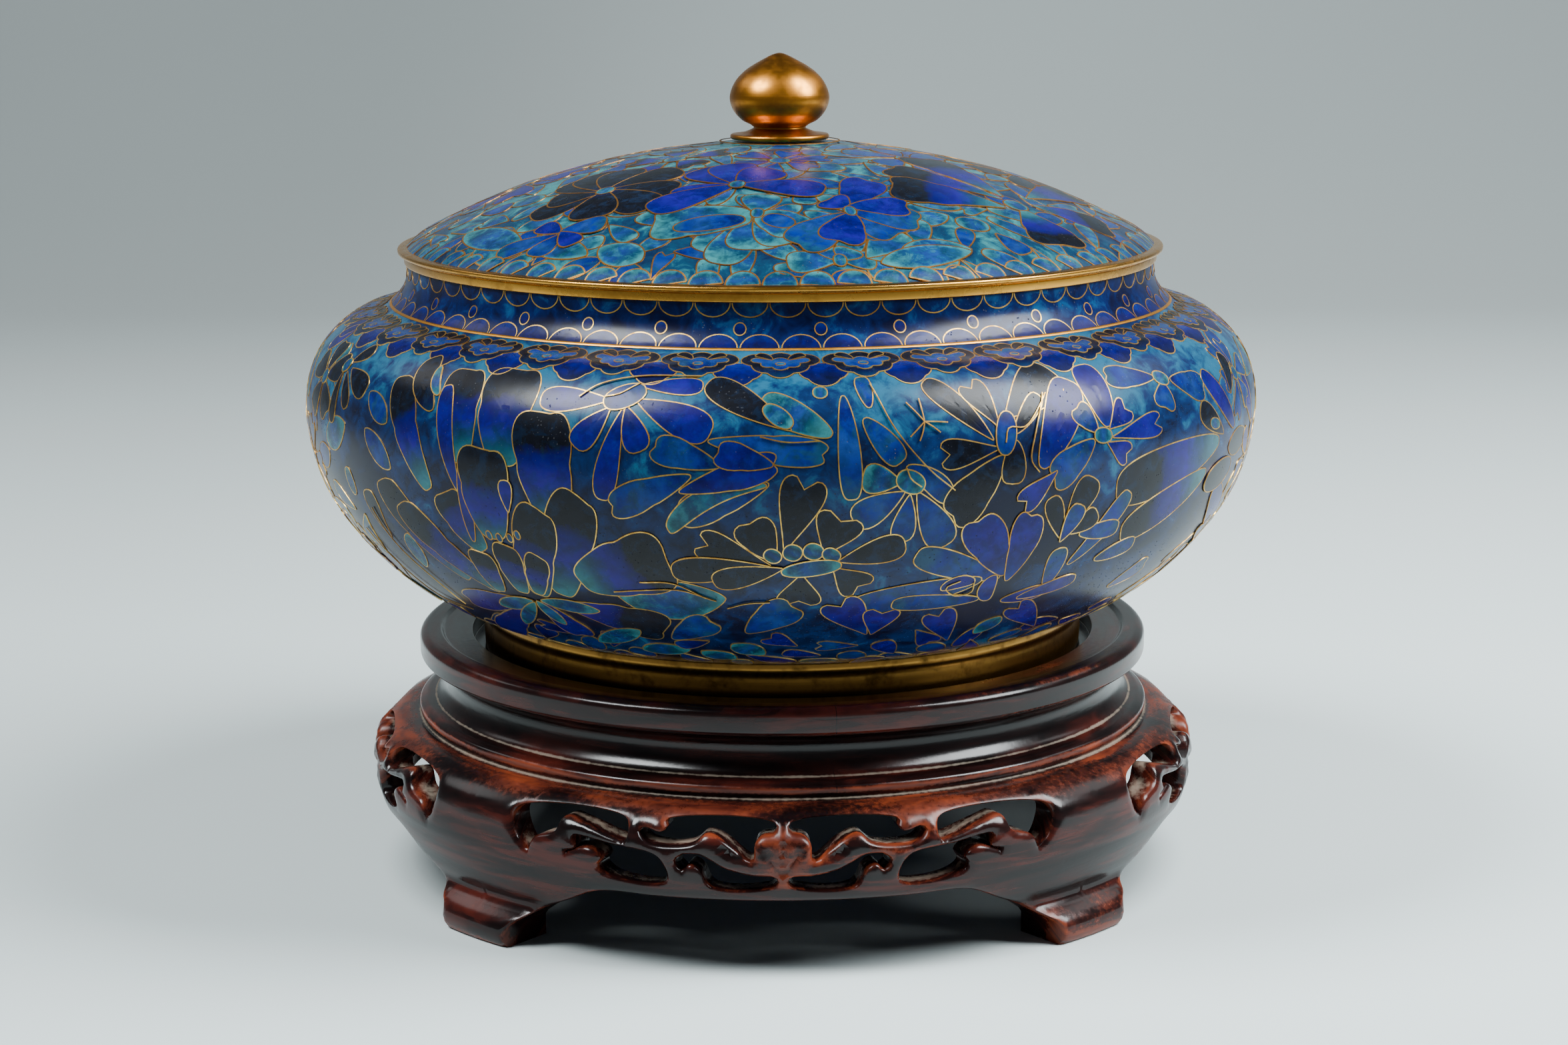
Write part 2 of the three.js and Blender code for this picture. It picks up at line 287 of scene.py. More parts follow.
@dataclass
class Sheet:
    """Vertices in millimetres with faces and numbers on the vertices."""

    points: Array
    quads: Array
    triangles: Array = field(default_factory=lambda: np.zeros((0, 3), int))
    numbers: dict[str, Array] = field(default_factory=dict)

    def compact(self) -> "Sheet":
        """Drop the points that no face uses.

        Returns:
            The sheet without them.
        """
        used = np.unique(np.concatenate([self.quads.ravel(), self.triangles.ravel()]))
        place = np.zeros(len(self.points), int)
        place[used] = np.arange(len(used))
        return Sheet(self.points[used], place[self.quads], place[self.triangles],
                     {name: values[used] for name, values in self.numbers.items()})


def joined(sheets: Sequence[Sheet]) -> Sheet:
    """Put sheets into one, their faces renumbered.

    Args:
        sheets: the sheets, all with the same numbers on their vertices.

    Returns:
        The one sheet.
    """
    starts = np.cumsum([0] + [len(s.points) for s in sheets[:-1]])
    return Sheet(
        np.concatenate([s.points for s in sheets]),
        np.concatenate([s.quads + start for s, start in zip(sheets, starts)]),
        np.concatenate([s.triangles + start for s, start in zip(sheets, starts)]),
        {name: np.concatenate([s.numbers[name] for s in sheets]) for name in sheets[0].numbers})


def add_mesh(name: str, sheet: Sheet, material: Material, crease: float) -> bpy.types.Object:
    """Put a sheet into the scene.

    Args:
        name: the object's name.
        sheet: its shape.
        material: its finish.
        crease: degrees between faces past which an edge stays sharp.

    Returns:
        The object, at the origin.
    """
    mesh = bpy.data.meshes.new(name)
    quads, triangles = len(sheet.quads), len(sheet.triangles)
    corners = np.concatenate([sheet.quads.ravel(), sheet.triangles.ravel()])
    starts = np.concatenate([np.arange(quads) * 4, 4 * quads + np.arange(triangles) * 3])
    mesh.vertices.add(len(sheet.points))
    mesh.vertices.foreach_set("co", (sheet.points * MM).astype(np.float32).ravel())
    mesh.loops.add(len(corners))
    mesh.loops.foreach_set("vertex_index", corners.astype(np.int32))
    mesh.polygons.add(len(starts))
    mesh.polygons.foreach_set("loop_start", starts.astype(np.int32))
    mesh.polygons.foreach_set("use_smooth", np.ones(len(starts), bool))
    for key, values in sheet.numbers.items():
        layer = mesh.attributes.new(key, "FLOAT", "POINT")
        layer.data.foreach_set("value", values.astype(np.float32))
    mesh.update(calc_edges=True)
    mesh.validate()
    mesh.set_sharp_from_angle(angle=math.radians(crease))
    mesh.materials.append(material)
    thing = bpy.data.objects.new(name, mesh)
    bpy.context.scene.collection.objects.link(thing)
    LOG.info("%s: %d points, %d faces", name, len(sheet.points), len(starts))
    return thing


def put(name: str, sheet: Sheet, material: Material, crease: float = 30.0,
        stands_for: str = "") -> None:
    """Put a sheet into the scene as a piece of the object.

    Args:
        name, sheet, material, crease: as for add_mesh.
        stands_for: the CAD node that the piece replaces, if any.
    """
    piece = add_mesh(name, sheet, material, crease)
    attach(piece, "root")
    if stands_for:
        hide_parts(stands_for)


def rounded(profile: Sequence[Corner], steps: int = 6) -> Array:
    """Round the corners of a profile with arcs.

    Each corner of [radius, height, rounding] is cut back by its rounding along both sides and joined by
    the quadratic curve between the cuts, (1-t)^2 a + 2t(1-t) corner + t^2 b.

    Args:
        profile: the corners in order; the ends stay sharp.
        steps: segments of each arc.

    Returns:
        The points, as rows of radius and height.
    """
    corners = np.array([p[:2] for p in profile], float)
    points = [corners[:1]]
    t = np.linspace(0.0, 1.0, steps + 1)[:, None]
    for before, corner, after, (_, _, cut) in zip(corners, corners[1:], corners[2:], profile[1:-1]):
        back, on = before - corner, after - corner
        reach = min(cut, 0.49 * np.linalg.norm(back), 0.49 * np.linalg.norm(on))
        a = corner + back / np.linalg.norm(back) * reach
        b = corner + on / np.linalg.norm(on) * reach
        points.append((1 - t) ** 2 * a + 2 * t * (1 - t) * corner + t ** 2 * b)
    points.append(corners[-1:])
    return np.concatenate(points)


def through(points: Sequence[Point], step: float) -> Array:
    """Draw a smooth curve through points, as a centripetal Catmull-Rom spline with even steps.

    Args:
        points: the points to pass.
        step: distance between the points of the result, about.

    Returns:
        The points of the curve, one row each.
    """
    knots = np.array(points, float)
    ends = np.vstack([2 * knots[0] - knots[1], knots, 2 * knots[-1] - knots[-2]])
    gaps = np.sqrt(np.maximum(np.linalg.norm(np.diff(ends, axis=0), axis=1), TINY))
    t = np.concatenate([[0.0], np.cumsum(gaps)])[:, None]
    pieces = []
    for i in range(1, len(ends) - 2):
        x = np.linspace(t[i], t[i + 1], 24, endpoint=False)
        a1 = (t[i] - x) / (t[i] - t[i - 1]) * ends[i - 1] + (x - t[i - 1]) / (t[i] - t[i - 1]) * ends[i]
        a2 = (t[i + 1] - x) / (t[i + 1] - t[i]) * ends[i] + (x - t[i]) / (t[i + 1] - t[i]) * ends[i + 1]
        a3 = ((t[i + 2] - x) * ends[i + 1] + (x - t[i + 1]) * ends[i + 2]) / (t[i + 2] - t[i + 1])
        b1 = ((t[i + 1] - x) * a1 + (x - t[i - 1]) * a2) / (t[i + 1] - t[i - 1])
        b2 = ((t[i + 2] - x) * a2 + (x - t[i]) * a3) / (t[i + 2] - t[i])
        pieces.append(((t[i + 1] - x) * b1 + (x - t[i]) * b2) / (t[i + 1] - t[i]))
    dense = np.vstack(pieces + [ends[-2:-1]])
    along = travelled(dense)
    even = np.linspace(0.0, along[-1], max(2, int(round(along[-1] / step)) + 1))
    return np.stack([np.interp(even, along, dense[:, k]) for k in range(dense.shape[1])], 1)


def turned(profile: Array, sides: int, closed: bool = True, numbers: dict[str, Array] | None = None) -> Sheet:
    """Turn a profile about the Z axis, in a grid of azimuth by place on the profile.

    A closed profile joins its end to its start; an open one ends on the axis, where the ring is one
    point.

    Args:
        profile: rows of radius and height.
        sides: steps around the axis.
        closed: whether the profile's end joins its start.
        numbers: values for each row of the profile, by name.

    Returns:
        The surface, its faces pointing out of the solid.
    """
    azimuth = np.linspace(0.0, TURN, sides, endpoint=False)[:, None]
    points = round_axis(profile[:, 0][None], azimuth, profile[:, 1] + 0 * azimuth).reshape(-1, 3)
    rows = len(profile)
    i = np.arange(sides)[:, None]
    j = np.arange(rows if closed else rows - 1)[None]
    near, far = i * rows, ((i + 1) % sides) * rows
    after = (j + 1) % rows
    quads = np.stack([near + j, far + j, far + after, near + after], -1).reshape(-1, 4)
    triangles = np.zeros((0, 3), int)
    if not closed:
        for pole in (0, rows - 1):
            touching = (quads % rows == pole).sum(1) == 2
            triangles = np.concatenate([triangles, triangle_fan(quads[touching], rows, pole)])
            quads = quads[~touching]
    a, b, c = (points[quads[:, k]] for k in range(3))
    if np.einsum("ij,ij->", a, np.cross(b, c)) < 0:
        quads, triangles = quads[:, ::-1], triangles[:, ::-1]
    spread = {name: np.tile(values, sides) for name, values in (numbers or {}).items()}
    return Sheet(points, quads, triangles, spread).compact()


def triangle_fan(quads: Array, rows: int, pole: int) -> Array:
    """Turn the quads at a pole into triangles that share the pole's first point.

    Args:
        quads: faces with two corners at the pole.
        rows: points from one azimuth to the next.
        pole: the row that lies on the axis.

    Returns:
        The triangles.
    """
    faces = np.where(quads % rows == pole, pole, quads)
    doubled = np.roll(faces, -1, axis=1) == faces
    return faces[~doubled].reshape(-1, 3)


# The camera and the studio

@dataclass(frozen=True)
class View:
    """The photograph's view, in the pixels of a frame of 2352 by 1568."""

    width: int = 2352
    height: int = 1568
    focal: float = 4540.0
    sensor: float = 36.0
    distance: float = 635.0
    rise: float = 199.8
    sideways: float = 0.5
    pitch: float = math.radians(11.42)
    roll: float = math.radians(0.28)

    @property
    def place(self) -> Array:
        """Give the camera's place in millimetres."""
        return np.array([self.sideways, -self.distance, self.rise])

    def axes(self) -> Array:
        """Give the camera's right, up and forward directions as rows."""
        c, s = math.cos(self.pitch), math.sin(self.pitch)
        right, up, forward = np.array([1.0, 0, 0]), np.array([0, s, c]), np.array([0, c, -s])
        cr, sr = math.cos(self.roll), math.sin(self.roll)
        return np.array([cr * right - sr * up, sr * right + cr * up, forward])

    def rays(self, pixels: Array) -> Array:
        """Give the direction of sight through pixels, one row each.

        Args:
            pixels: rows of x and y.

        Returns:
            The directions, x right + y up + forward.
        """
        x = (pixels[:, 0] - self.width / 2) / self.focal
        y = (self.height / 2 - pixels[:, 1]) / self.focal
        right, up, forward = self.axes()
        return x[:, None] * right + y[:, None] * up + forward

    def add_camera(self) -> None:
        """Put the camera into the scene."""
        data = bpy.data.cameras.new("camera")
        data.sensor_width = self.sensor
        data.lens = self.sensor * self.focal / self.width
        data.clip_start = 0.01
        camera = bpy.data.objects.new("camera", data)
        right, up, forward = (Vector(v) for v in self.axes())
        turn = Matrix((right, up, -forward)).transposed()
        camera.matrix_world = Matrix.Translation(Vector(self.place) * MM) @ turn.to_4x4()
        bpy.context.scene.collection.objects.link(camera)
        bpy.context.scene.camera = camera


@dataclass(frozen=True)
class Softbox:
    """An elliptical lamp that looks at the bowl."""

    name: str
    place: Corner
    size: Point
    watts: float
    colour: Colour = (1.0, 1.0, 1.0)

    def hang(self, target: Corner) -> None:
        """Hang the lamp and aim it at a target in millimetres.

        Args:
            target: where it looks.
        """
        data = bpy.data.lights.new(self.name, "AREA")
        data.shape = "ELLIPSE"
        data.size, data.size_y = (v * MM for v in self.size)
        data.energy, data.color = self.watts, self.colour
        place = Vector(self.place) * MM
        turn = (Vector(target) * MM - place).to_track_quat("-Z", "Y")
        lamp = bpy.data.objects.new(self.name, data)
        lamp.matrix_world = Matrix.Translation(place) @ turn.to_matrix().to_4x4()
        bpy.context.scene.collection.objects.link(lamp)


@dataclass
class Studio:
    """A pale floor that sweeps up behind the bowl, soft lamps and a dim sky."""

    half_width: float = 1700.0
    front: float = -1500.0
    back: float = 900.0
    sweep: float = 700.0
    wall: float = 200.0
    target: Corner = (0.0, 0.0, 90.0)
    floor_colour: Colour = srgb(204, 215, 215)
    sky: Stops = ((0.0, (0.2, 0.215, 0.22)), (0.5, (0.25, 0.265, 0.275)), (0.6, (0.14, 0.15, 0.16)),
                  (0.8, (0.05, 0.05, 0.06)))
    lamps: tuple[Softbox, ...] = (
        Softbox("lamp_left", (-585.0, -280.0, 930.0), (480.0, 480.0), 22.0, (0.93, 0.98, 1.0)),
        Softbox("lamp_right", (640.0, -180.0, 750.0), (470.0, 740.0), 29.0, (0.93, 0.98, 1.0)),
        Softbox("lamp_back_left", (-1300.0, 700.0, 1200.0), (700.0, 500.0), 2.0),
        Softbox("lamp_back_right", (1300.0, 700.0, 1200.0), (700.0, 500.0), 2.0),
    )

    def build(self) -> None:
        """Make the floor with its sweep, a quarter circle, then the lamps and the sky."""
        turn = np.linspace(0.0, np.pi / 2, 17)[:, None]
        bend = np.hstack([self.back + self.sweep * np.sin(turn), self.sweep * (1 - np.cos(turn))])
        line = np.vstack([[self.front, 0.0], bend, bend[-1] + np.array([0.0, self.wall])])
        x = np.array([-self.half_width, self.half_width])[:, None]
        grid = np.stack([x + 0 * line[:, 0], 0 * x + line[:, 0], 0 * x + line[:, 1]], -1)
        rows = len(line)
        j = np.arange(rows - 1)
        quads = np.stack([j, j + rows, j + rows + 1, j + 1], -1)
        add_mesh("floor", Sheet(grid.reshape(-1, 3), quads), self.paper(), 30.0)
        for lamp in self.lamps:
            lamp.hang(self.target)
        world = bpy.data.worlds.new("sky")
        bpy.context.scene.world = world
        world.use_nodes = True
        sky = Tree(world.node_tree)
        height = sky.node("SeparateXYZ", {0: sky.node("TexCoord", {})["Generated"]})["Z"]
        share = sky.node("MapRange", {"Value": height, "From Min": -1.0})["Result"]
        sky.feed(world.node_tree.nodes["Background"].inputs["Color"], sky.ramp(share, self.sky))

    def paper(self) -> Material:
        """Give the floor's matt finish with painted shade: palest round the bowl, darker to its left, behind and in
        front, and a painted shadow under the stand.
        """
        shader = Shader("paper")
        x, y, _, radius = shader.split()
        # Painted shade: the floor is darkened to the left, behind and in front of the bowl, and a painted shadow is
        # laid under the stand.
        left, behind, front = x.step(0.08, -0.26), y.step(0.2, 1.5), y.step(-0.17, -0.45)
        painted_shadow = radius.step(0.088, 0.078)
        shade = 0.88 - left * 0.19 - behind * 0.2 - front * 0.6 - painted_shadow * 0.4 + shader.noise(500.0) * 0.06
        shader.set(Base_Color=shader.shade(self.floor_colour, shade), Roughness=0.8)
        return shader.material


# Faces of revolution and what is laid on them

class Face:
    """The outer face of a turned shell, measured by azimuth and by distance along its profile."""

    def __init__(self, profile: Array, domed: bool) -> None:
        """Keep the profile and its normals.

        Args:
            profile: rows of radius and height, from the top of the shell outwards and down.
            domed: whether patches are laid out as on a flat disc, or else as on a cylinder.
        """
        self.profile, self.domed = profile, domed
        self.along = travelled(profile)
        slope = np.gradient(profile, self.along, axis=0)
        self.normals = np.stack([-slope[:, 1], slope[:, 0]], 1)
        self.length = self.along[-1]

    def radius(self, s: "Array | float") -> "Array | float":
        """Give the radius at a distance along the profile."""
        return np.interp(s, self.along, self.profile[:, 0])

    def at_height(self, z: "Array | float") -> "Array | float":
        """Give the distance along the profile at a height."""
        return np.interp(-np.asarray(z), -self.profile[:, 1], self.along)

    def points(self, azimuth: Array, s: Array, lift: "Array | float") -> Array:
        """Give points on the face, raised along its normal.

        Args:
            azimuth: angles.
            s: distances along the profile.
            lift: how far out of the face.

        Returns:
            The points, with a last axis of x, y, z.
        """
        s = np.clip(s, 0.0, self.length)
        r, z = (np.interp(s, self.along, place) + lift * np.interp(s, self.along, out)
                for place, out in zip(self.profile.T, self.normals.T))
        return round_axis(r, azimuth, z)

    def unroll(self, azimuth: Array, s: Array, hub: Point) -> Array:
        """Lay points out flat about a hub.

        Args:
            azimuth: their angles.
            s: their distances along the profile.
            hub: azimuth and distance of the middle.

        Returns:
            x to the right and y up the profile, in millimetres.
        """
        if self.domed:
            return np.stack([s * np.sin(azimuth) - hub[1] * np.sin(hub[0]),
                             -s * np.cos(azimuth) + hub[1] * np.cos(hub[0])], -1)
        return np.stack([turn_between(hub[0], azimuth) * self.radius(hub[1]), hub[1] - s], -1)

    def roll(self, plane: Array, hub: Point) -> tuple[Array, Array]:
        """Put a flat layout back on the face.

        Args:
            plane: x and y as unroll gives them.
            hub: azimuth and distance of the middle.

        Returns:
            The azimuths and the distances along the profile.
        """
        if self.domed:
            x = plane[..., 0] + hub[1] * np.sin(hub[0])
            y = plane[..., 1] - hub[1] * np.cos(hub[0])
            return np.arctan2(x, -y), np.hypot(x, y)
        return hub[0] + plane[..., 0] / self.radius(hub[1]), hub[1] - plane[..., 1]

    def seen(self, view: View, pixels: Array) -> Array:
        """Find where sight lines through pixels of the photograph meet the face.

        Each line is followed in small steps until its distance from the axis is under the radius of the
        face at its height; a line that misses takes its nearest point.

        Args:
            view: the camera.
            pixels: rows of x and y.

        Returns:
            Rows of azimuth and distance along the profile.
        """
        rays = view.rays(np.asarray(pixels, float))
        t = np.linspace(0.75 * view.distance, 1.25 * view.distance, 3200)
        path = view.place + rays[:, None, :] * t[None, :, None]
        low, high = self.profile[:, 1].min(), self.profile[:, 1].max()
        edge = np.interp(path[..., 2], self.profile[::-1, 1], self.profile[::-1, 0])
        outside = np.hypot(path[..., 0], path[..., 1]) - edge
        outside += 10.0 * (np.maximum(path[..., 2] - high, 0) + np.maximum(low - path[..., 2], 0))
        met = outside <= 0
        first = np.where(met.any(1), met.argmax(1), outside.argmin(1))
        point = path[np.arange(len(path)), first]
        return np.stack([np.arctan2(point[:, 0], -point[:, 1]), self.at_height(point[:, 2])], 1)


class Form(Enum):
    """Outline of a petal or leaf.

    The values are the width at the base against the widest, the power that moves the widest place
    towards the tip, the power of the ends (under 1 blunt, over 1 pointed), the depth of the notch in
    the tip, the number of lobes along the edge, and their depth.
    """

    OVAL = (1.0, 1.0, 0.85, 0.0, 0, 0.0)
    PETAL = (0.12, 0.75, 0.72, 0.0, 0, 0.0)
    LONG = (0.35, 0.6, 0.6, 0.0, 0, 0.0)
    HEART = (0.1, 1.1, 0.6, 0.16, 0, 0.0)
    LEAF = (0.8, 0.8, 1.35, 0.0, 0, 0.0)
    LOBED = (0.2, 0.7, 0.62, 0.05, 3, 0.14)
    FAN = (0.6, 1.0, 0.5, 0.0, 4, 0.15)
    RUFFLED = (0.1, 1.0, 0.55, 0.0, 5, 0.16)


class Glaze(Enum):
    """The enamels, by the name of the piece that holds their cells."""

    INK = "ink"
    DUSK = "dusk"
    VIOLET = "violet"
    COBALT = "cobalt"
    TEAL = "teal"
    NIGHT = "night"


@dataclass(frozen=True)
class Petal:
    """A cell between two points of a face, given as azimuth and distance along the profile."""

    base: Point
    tip: Point
    width: float
    form: Form
    glaze: Glaze
    bend: float = 0.0


@dataclass
class Patch:
    """A cell laid on a face: its outline in millimetres about a hub."""

    hub: Point
    outline: Array
    along: Array
    glaze: Glaze
    wired: bool = True
    level: int = 0


LOBE_CENTRE = 0.55


def petal_outline(length: float, width: float, form: Form, bend: float, steps: int) -> tuple[Array, Array]:
    """Draw a petal from its base at 0 to its tip at x = length.

    The place along the middle is x = (1 - cos a) / 2 for an angle a that runs round the petal, and the
    half width is |sin a| to a power, times a share that grows from the base towards the tip. Lobes swell
    the edge by |sin| about the middle of the outer half, a notch draws the tip in, and the bend moves
    the petal sideways by 4x(1 - x).

    Args:
        length, width: size in millimetres.
        form: kind of outline.
        bend: sideways bow as a share of the length.
        steps: points of the outline.

    Returns:
        The outline, and the share of the way from base to tip at each point.
    """
    base, skew, ends, notch, lobes, depth = form.value
    a = np.linspace(0.0, TURN, steps, endpoint=False)
    x = (1 - np.cos(a)) / 2
    y = np.sign(np.sin(a)) * np.abs(np.sin(a)) ** ends * (base + (1 - base) * x ** skew)
    y /= np.abs(y).max()
    if lobes:
        around = np.arctan2(y * width / 2, (x - LOBE_CENTRE) * length)
        swell = 1 + depth * (np.abs(np.sin(lobes * around / 2 + 0.4)) - 0.6) * smoothstep(0.3, 0.65, x)
        x = LOBE_CENTRE + (x - LOBE_CENTRE) * swell
        y = y * swell
    x = x - notch * bell(y, 0.0, 0.32) * smoothstep(0.5, 0.95, x)
    sideways = y * width / 2 + bend * length * 4 * x * (1 - x)
    return np.stack([x * length, sideways], 1), x


@dataclass
class Skin:
    """Cells and wires laid on one face; its name starts the names of its pieces."""

    name: str
    face: Face
    first_lift: float = 0.08
    level_lift: float = 0.045
    wire_width: float = 0.25
    wire_lift: float = 0.018
    wire_depth: float = 0.16
    rim_depth: float = 0.05
    ring_gap: float = 1.9
    point_gap: float = 0.9
    patches: list[Patch] = field(default_factory=list)
    lines: list[tuple[Array, bool]] = field(default_factory=list)

    def add_petals(self, petals: Iterable[Petal]) -> None:
        """Lay petals, each flat about the middle of its length.

        Args:
            petals: the petals, in the order in which they hide each other.
        """
        for petal in petals:
            (start, low), (end, high) = petal.base, petal.tip
            middle = (start + turn_between(start, end) / 2, (low + high) / 2)
            base, tip = self.face.unroll(np.array([start, end]), np.array([low, high]), middle)
            run = tip - base
            length = np.linalg.norm(run)
            steps = int(np.clip((2 * length + petal.width) / self.point_gap, 24, 110)) // 2 * 2
            outline, along = petal_outline(length, petal.width, petal.form, petal.bend, steps)
            ahead = run / length
            aside = np.array([-ahead[1], ahead[0]])
            hub = base + ahead * length * 0.5 + aside * petal.bend * length
            shape = base + outline[:, :1] * ahead + outline[:, 1:] * aside - hub
            self.patches.append(Patch(self.face.roll(hub, middle), shape, along, petal.glaze))

    def add_shape(self, hub: Point, outline: Array, glaze: Glaze, wired: bool = True) -> None:
        """Lay a cell with a free outline about its hub, x to the right and y up the profile."""
        along = 0.5 + 0.5 * outline[:, 1] / np.abs(outline[:, 1]).max()
        self.patches.append(Patch(hub, outline, along, glaze, wired))

    def add_wire(self, azimuth: Array, s: Array, closed: bool = False) -> None:
        """Lay a wire alone through azimuths and distances along the profile."""
        self.lines.append((np.stack([azimuth, s], 1), closed))

    def grade(self) -> None:
        """Give each cell a level over the earlier cells that it overlaps."""
        hubs = np.array([p.hub for p in self.patches])
        centres = self.face.points(hubs[:, 0], hubs[:, 1], 0.0)
        reach = np.array([np.linalg.norm(p.outline, axis=1).max() for p in self.patches])
        for i, patch in enumerate(self.patches):
            near = np.linalg.norm(centres[:i] - centres[i], axis=1) < reach[:i] + reach[i]
            for other in (self.patches[k] for k in np.nonzero(near)[0]):
                if other.level >= patch.level and (self.holds(other, patch) or self.holds(patch, other)):
                    patch.level = other.level + 1

    def holds(self, cell: Patch, other: Patch) -> bool:
        """Tell whether a cell holds a point of another's outline, drawn in a little.

        A point is inside when it is nearer to the hub than the outline is at the same angle.

        Args:
            cell: the cell that may hold.
            other: the cell whose points are tried.

        Returns:
            Whether one is inside.
        """
        spots = self.face.unroll(*self.face.roll(other.outline * 0.96, other.hub), cell.hub)
        angle = np.arctan2(cell.outline[:, 1], cell.outline[:, 0])
        order = np.argsort(angle)
        edge = np.interp(np.arctan2(spots[:, 1], spots[:, 0]), angle[order],
                         np.linalg.norm(cell.outline, axis=1)[order], period=TURN)
        return bool((np.linalg.norm(spots, axis=1) < edge).any())

    def lift(self, level: int) -> float:
        """Give how far a level lies out of the face."""
        return self.first_lift + self.level_lift * level

    def cell_sheet(self, patch: Patch, tone: float) -> Sheet:
        """Fill a cell's outline with rings about its hub, and a rim that goes down to the ground.

        A point is hub + q (outline - hub) for a share q from 0 to 1.

        Args:
            patch: the cell.
            tone: number from 0 to 1 that sets its shade.

        Returns:
            The cell's surface.
        """
        reach = np.linalg.norm(patch.outline, axis=1).max()
        rings = int(np.clip(math.ceil(reach / self.ring_gap), 1, 12))
        share = np.concatenate([np.linspace(1 / rings, 1.0, rings), [1.0]])
        count = len(patch.outline)
        lift = np.full(rings + 1, self.lift(patch.level))
        lift[-1] = -self.rim_depth
        azimuth, s = self.face.roll(share[:, None, None] * patch.outline[None], patch.hub)
        rim = self.face.points(azimuth, s, lift[:, None]).reshape(-1, 3)
        hub = self.face.points(np.array([patch.hub[0]]), np.array([patch.hub[1]]), lift[0])
        k = np.arange(count)
        after = (k + 1) % count
        ring = (np.arange(rings)[:, None] * count) + 1
        quads = np.stack([ring + k, ring + after, ring + after + count, ring + k + count], -1)
        triangles = np.stack([np.zeros(count, int), k + 1, after + 1], -1)
        numbers = {
            "along": np.concatenate([[0.5], (0.5 + share[:, None] * (patch.along - 0.5)).ravel()]),
            "rim": np.concatenate([[0.0], np.repeat(share, count)]),
            "tone": np.full(1 + len(rim), tone)}
        if area(patch.outline) < 0:
            quads, triangles = quads[..., ::-1], triangles[:, ::-1]
        return Sheet(np.concatenate([hub, rim]), quads.reshape(-1, 4), triangles, numbers)

    def wire_sheet(self, plane: Array, hub: Point, lift: float, closed: bool) -> Sheet:
        """Carry the wire's section along a line laid flat about a hub.

        The section has a flat top and two sides that go down into the enamel; across the line it is
        moved along the line's left side.

        Args:
            plane: the line's points.
            hub: azimuth and distance that they are measured from.
            lift: how far the top lies out of the face.
            closed: whether the line's end joins its start.

        Returns:
            The wire's surface.
        """
        left = left_of(closed_run(plane) if closed else np.gradient(plane, axis=0))
        half = self.wire_width / 2
        across = np.array([half * 1.1, half * 0.85, -half * 0.85, -half * 1.1])
        height = np.array([-self.wire_depth, 0.0, 0.0, -self.wire_depth]) + lift
        azimuth, s = self.face.roll(plane[:, None, :] + left[:, None, :] * across[None, :, None], hub)
        points = self.face.points(azimuth, s, height[None, :]).reshape(-1, 3)
        count = len(plane)
        i = np.arange(count if closed else count - 1)[:, None]
        after = (i + 1) % count
        j = np.arange(3)[None]
        quads = np.stack([4 * i + j + 1, 4 * i + j, 4 * after + j, 4 * after + j + 1], -1)
        return Sheet(points, quads.reshape(-1, 4))

    def build(self, glazes: dict[Glaze, Material], wire: Material, slot: str) -> None:
        """Make a piece of each glaze's cells and one of the wires.

        Args:
            glazes: the finish of each enamel.
            wire: the finish of the wires.
            slot: not used.
        """
        self.grade()
        for glaze in Glaze:
            cells = [self.cell_sheet(patch, (i * 0.618) % 1.0)
                     for i, patch in enumerate(self.patches) if patch.glaze is glaze]
            if cells:
                put(f"{self.name}_{glaze.value}", joined(cells), glazes[glaze])
        highest = max(p.level for p in self.patches)
        wires = [self.wire_sheet(p.outline, p.hub, self.lift(p.level) + self.wire_lift, True)
                 for p in self.patches if p.wired]
        for line, closed in self.lines:
            hub = line.mean(0)
            plane = self.face.unroll(line[:, 0], line[:, 1], hub)
            wires.append(self.wire_sheet(plane, hub, self.lift(highest) + self.wire_lift, closed))
        put(f"{self.name}_wires", joined(wires), wire)
        LOG.info("%s: %d cells on %d levels", self.name, len(self.patches), 1 + highest)


def area(outline: Array) -> float:
    """Give the signed area of a closed outline."""
    after = np.roll(outline, -1, axis=0)
    return np.sum(outline[:, 0] * after[:, 1] - outline[:, 1] * after[:, 0]) / 2


# Finishes

@dataclass(frozen=True)
class Enamel:
    """Polished glass enamel: its colours from the base of a cell to the tip, and its rim.

    The stops are read along the cell, shifted by noise so that the colours run into each other. The
    halo is the colour that the glass has beside the wires, and in pools scattered over it.
    """

    name: str
    stops: Stops
    halo: Colour
    halo_share: float
    run: float = 0.22
    pool_share: float = 0.5

    def material(self) -> Material:
        """Build the finish."""
        shader = Shader(self.name)
        broad = shader.noise(14.0, 3.0, 0.3)
        cloud = shader.noise(2.6, 4.0, 0.4, 0.6)
        speck = shader.noise(0.5)
        tone = shader.attribute("tone")
        along = shader.attribute("along") + (broad - 0.5) * self.run + (cloud - 0.5) * self.run * 0.8
        colour = shader.ramp(along + (tone - 0.5) * 0.1, self.stops)
        halo = (shader.attribute("rim") + (cloud - 0.5) * 0.4).step(0.78, 1.02) * self.halo_share
        colour = shader.mix(halo, colour, self.halo)
        pool = (shader.noise(3.6, 5.0, 1.0, 0.66) + (speck - 0.5) * 0.12).step(0.47, 0.64) * self.pool_share
        colour = shader.mix(pool, colour, self.halo)
        colour = shader.shade(colour, 0.46 + cloud.step(0.3, 0.7) * 0.62 + speck * 0.25 + tone * 0.2)
        return finished_glass(shader, colour, broad)


